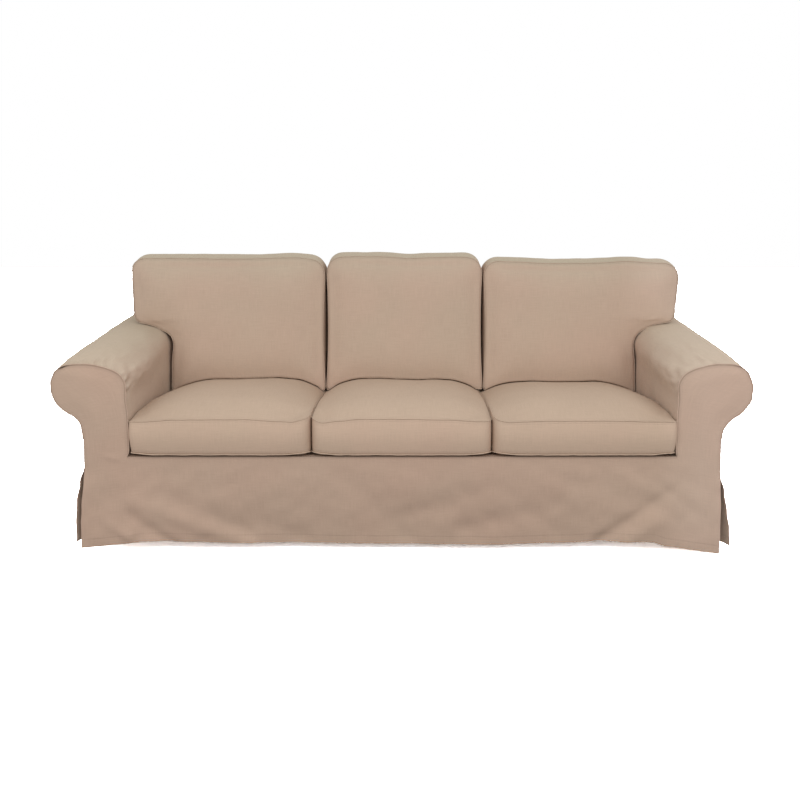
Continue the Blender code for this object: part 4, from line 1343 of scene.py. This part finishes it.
def back_cushion(side):
    columns, rows, layers = 66 if side != "middle" else 56, 62, 13
    top_swell, waist_nip, waist_fill, edge_fill = 0.012, 0.007, 0.006, 0.0012
    sides = rounded_sides(back_corners(side), (columns, rows))
    outline = [point for run in sides for point in run]
    edge_tree = KDTree(len(outline))
    for index, point in enumerate(outline):
        edge_tree.insert(point.to_3d(), index)
    edge_tree.balance()

    def from_edge(column, row):
        """How far a place of the front is from the outline and from the seat below it."""
        spot = patch(sides, column, row)
        above_seat = max(spot.y - seat_surface(spot.x, BACK_FOOT_Y) + BACK_SINK, 0.0)
        return min(edge_tree.find(spot.to_3d())[2], above_seat)

    filled = {}
    for column in range(columns + 1):
        for row in range(rows + 1):
            away = from_edge(column, row)
            filled[column, row] = 1.0 - math.exp(-away / BACK_ROUND
                                                 - (away / (2.0 * BACK_ROUND)) ** 2)
    for _ in range(14):
        filled.update({(column, row): 0.25 * (
            filled[column - 1, row] + filled[column + 1, row]
            + filled[column, row - 1] + filled[column, row + 1])
            for column in range(1, columns) for row in range(1, rows)})

    def settle(x, depth, up):
        """Keep the foot on the seat cushions and the ear on the climbing arm."""
        foot_clear, crumple = 0.0040, 0.0012
        up += along(BACKS[side]["wave"], x) * smoothstep(up, 0.70, 0.88)
        up += crumple * ripple((x, depth, 1.0), 0.055, 11.0) * smoothstep(up, 0.78, 0.88)
        up = max(up, seat_surface(x, depth) + foot_clear)
        over_arm = smoothstep(abs(x), SEAT_HALF - 0.02, SEAT_HALF + 0.03)
        low_part = falling(up, 0.66, 0.80)
        up += ARM_RISE * (depth - EAR_Y) / REAR_Y * over_arm * low_part
        return at(x, depth, up)

    def place(column, row, layer):
        spot = patch(sides, column, row)
        part = layer / layers
        front = BACK_FOOT_Y + BACK_FRONT_LEAN * (spot.y - BACK_FOOT_Z)
        rear = inside_back_y(spot.y) - GAP
        if column in (0, columns) or row in (0, rows):
            normal = outer_normal(sides, column, row)
            rise = min(max((spot.y - 0.44) / 0.42, 0.0), 1.0)
            waist = math.sin(math.pi * rise) * abs(normal.x) ** 3 if abs(spot.x) < 0.4 else 0.0
            top = max(0.0, normal.y) ** 2 if spot.y > 0.75 else 0.0
            belly = math.sin(math.pi * part)
            fill = belly ** 0.6 * (waist_fill * waist + edge_fill)
            spot = spot + normal * (top_swell * top * belly - waist_nip * waist + fill)
            return settle(spot.x, lerp(front, rear, part), spot.y)
        if layer == layers:
            return settle(spot.x, rear, spot.y)
        return settle(spot.x, front - BACK_BULGE * filled[column, row], spot.y)

    piece = add_cushion("back_cushion_%s_bag" % side, boxed_cushion(sides, layers, place),
                        layers, 0.60, from_edge, BACK_CANVAS, BACK_LIPS)
    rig.replaces(piece, "back_cushion_" + side)
    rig.padded(piece, fill=0.55)


for side in BACKS:
    back_cushion(side)

# ---------------------------------------------------------------- puffing and sewing
# The bags are puffed up together by a cloth simulation in which their seams are held, and
# their canvas is a little larger than the filling, so that it goes into soft puckers.


def calm(mesh, moves, rounds):
    """Even out the puffing away from the seams, where the filling keeps the canvas smooth."""
    near = [[] for _ in moves]
    for edge in mesh.edges:
        first, second = edge.vertices
        near[first].append(second)
        near[second].append(first)
    slack = [value.value for value in mesh.attributes["slack"].data]
    for _ in range(rounds):
        moves = [move.lerp(sum((moves[other] for other in near[index]), Vector())
                           / len(near[index]), 0.9 * (1.0 - slack[index]))
                 for index, move in enumerate(moves)]
    return moves


def puff(cushions, frames, cap):
    """Let the cushions' canvas fill out from inside, each place by at most the cap."""
    for piece, _ in cushions:
        held = piece.vertex_groups.new(name="held")
        slack = piece.vertex_groups.new(name="slack")
        for index, value in enumerate(piece.data.attributes["held"].data):
            held.add([index], value.value, "REPLACE")
        for index, value in enumerate(piece.data.attributes["slack"].data):
            slack.add([index], value.value, "REPLACE")
        cloth = piece.modifiers.new("Puff", "CLOTH")
        settings = cloth.settings
        settings.quality = 6
        settings.mass = 0.3
        settings.tension_stiffness = settings.compression_stiffness = 15.0
        settings.shear_stiffness = 5.0
        settings.bending_stiffness = 0.3
        settings.use_pressure = True
        settings.uniform_pressure_force = 1.3
        settings.vertex_group_shrink = "slack"
        settings.shrink_min = 0.0
        settings.shrink_max = -0.010
        settings.vertex_group_mass = "held"
        settings.pin_stiffness = 1.0
        settings.effector_weights.gravity = 0.0
        cloth.collision_settings.use_collision = False
        cloth.point_cache.frame_start, cloth.point_cache.frame_end = 1, frames
    scene.frame_start, scene.frame_end = 1, frames
    for number in range(1, frames + 1):
        scene.frame_set(number)
    graph = bpy.context.evaluated_depsgraph_get()
    for piece, _ in cushions:
        puffed = piece.evaluated_get(graph)
        moves = [there.co - here.co
                 for there, here in zip(puffed.data.vertices, piece.data.vertices)]
        for vert, move in zip(piece.data.vertices, calm(piece.data, moves, 10)):
            if move.length > cap:
                move *= cap / move.length
            vert.co += move
        piece.modifiers.clear()
    scene.frame_set(1)


def rest_on(piece, below, clearance, top_z):
    """Lift what of a cushion's foot has sunk into the seat cushions below it."""
    seat_trees = []
    for other in below:
        seat_bm = bmesh.new()
        seat_bm.from_mesh(other.data)
        seat_trees.append(BVHTree.FromBMesh(seat_bm))
        seat_bm.free()
    down = Vector((0.0, 0.0, -1.0))
    for vert in piece.data.vertices:
        if vert.co.z > top_z:
            continue
        start = Vector((vert.co.x, vert.co.y, top_z + 0.2))
        hits = [tree.ray_cast(start, down)[0] for tree in seat_trees]
        heights = [hit.z for hit in hits if hit is not None]
        if heights:
            vert.co.z = max(vert.co.z, max(heights) + clearance)


def sew(piece, seams):
    """Give a cushion its weave, its topstitching and the lips of its two seams.

    seams holds (the places of a seam, (how proud its lip is, how thick)).
    """
    bm = bmesh.new()
    bm.from_mesh(piece.data)
    bm.verts.ensure_lookup_table()
    bm.normal_update()
    loops = [[bm.verts[index].co.copy() for index in seam] for seam, _ in seams]
    cut = bm.loops.layers.uv.new("cut")
    for face in bm.faces:
        size = [abs(value) for value in face.normal]
        flat = size.index(max(size))
        first, second = [axis for axis in range(3) if axis != flat]
        for loop in face.loops:
            loop[cut].uv = (loop.vert.co[first], loop.vert.co[second])
    for number, ((seam, lip_size), loop) in enumerate(zip(seams, loops)):
        outs = [bm.verts[index].normal.copy() for index in seam]
        smooth = [sum((outs[(place + step) % len(outs)] for step in (-2, -1, 0, 1, 2)),
                      Vector()).normalized() for place in range(len(outs))]
        seam_lip("%s_seam_%d" % (piece.name, number + 1), loop, smooth, *lip_size,
                 piece.data.materials[0], "cushion_cloth", closed=True)
    mark_stitching(bm, [(loop + loop[:1], SEAM_STITCH) for loop in loops])
    bm.to_mesh(piece.data)
    bm.free()
    finer = piece.modifiers.new("Finer", "SUBSURF")
    finer.levels = finer.render_levels = 1


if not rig.quick():
    puff(sewn_cushions, 20, 0.010)
seats = [piece for piece, _ in sewn_cushions if piece.name.startswith("seat_")]
for piece, seams in sewn_cushions:
    if piece.name.startswith("back_"):
        rest_on(piece, seats, 0.0018, at(0.0, 0.0, 0.56).z)
    sew(piece, seams)

with open("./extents.json", "w") as sizes:
    json.dump({"cad": [list(corner) for corner in cad_box],
               "visual": [list(corner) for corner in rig.bounds()]}, sizes)
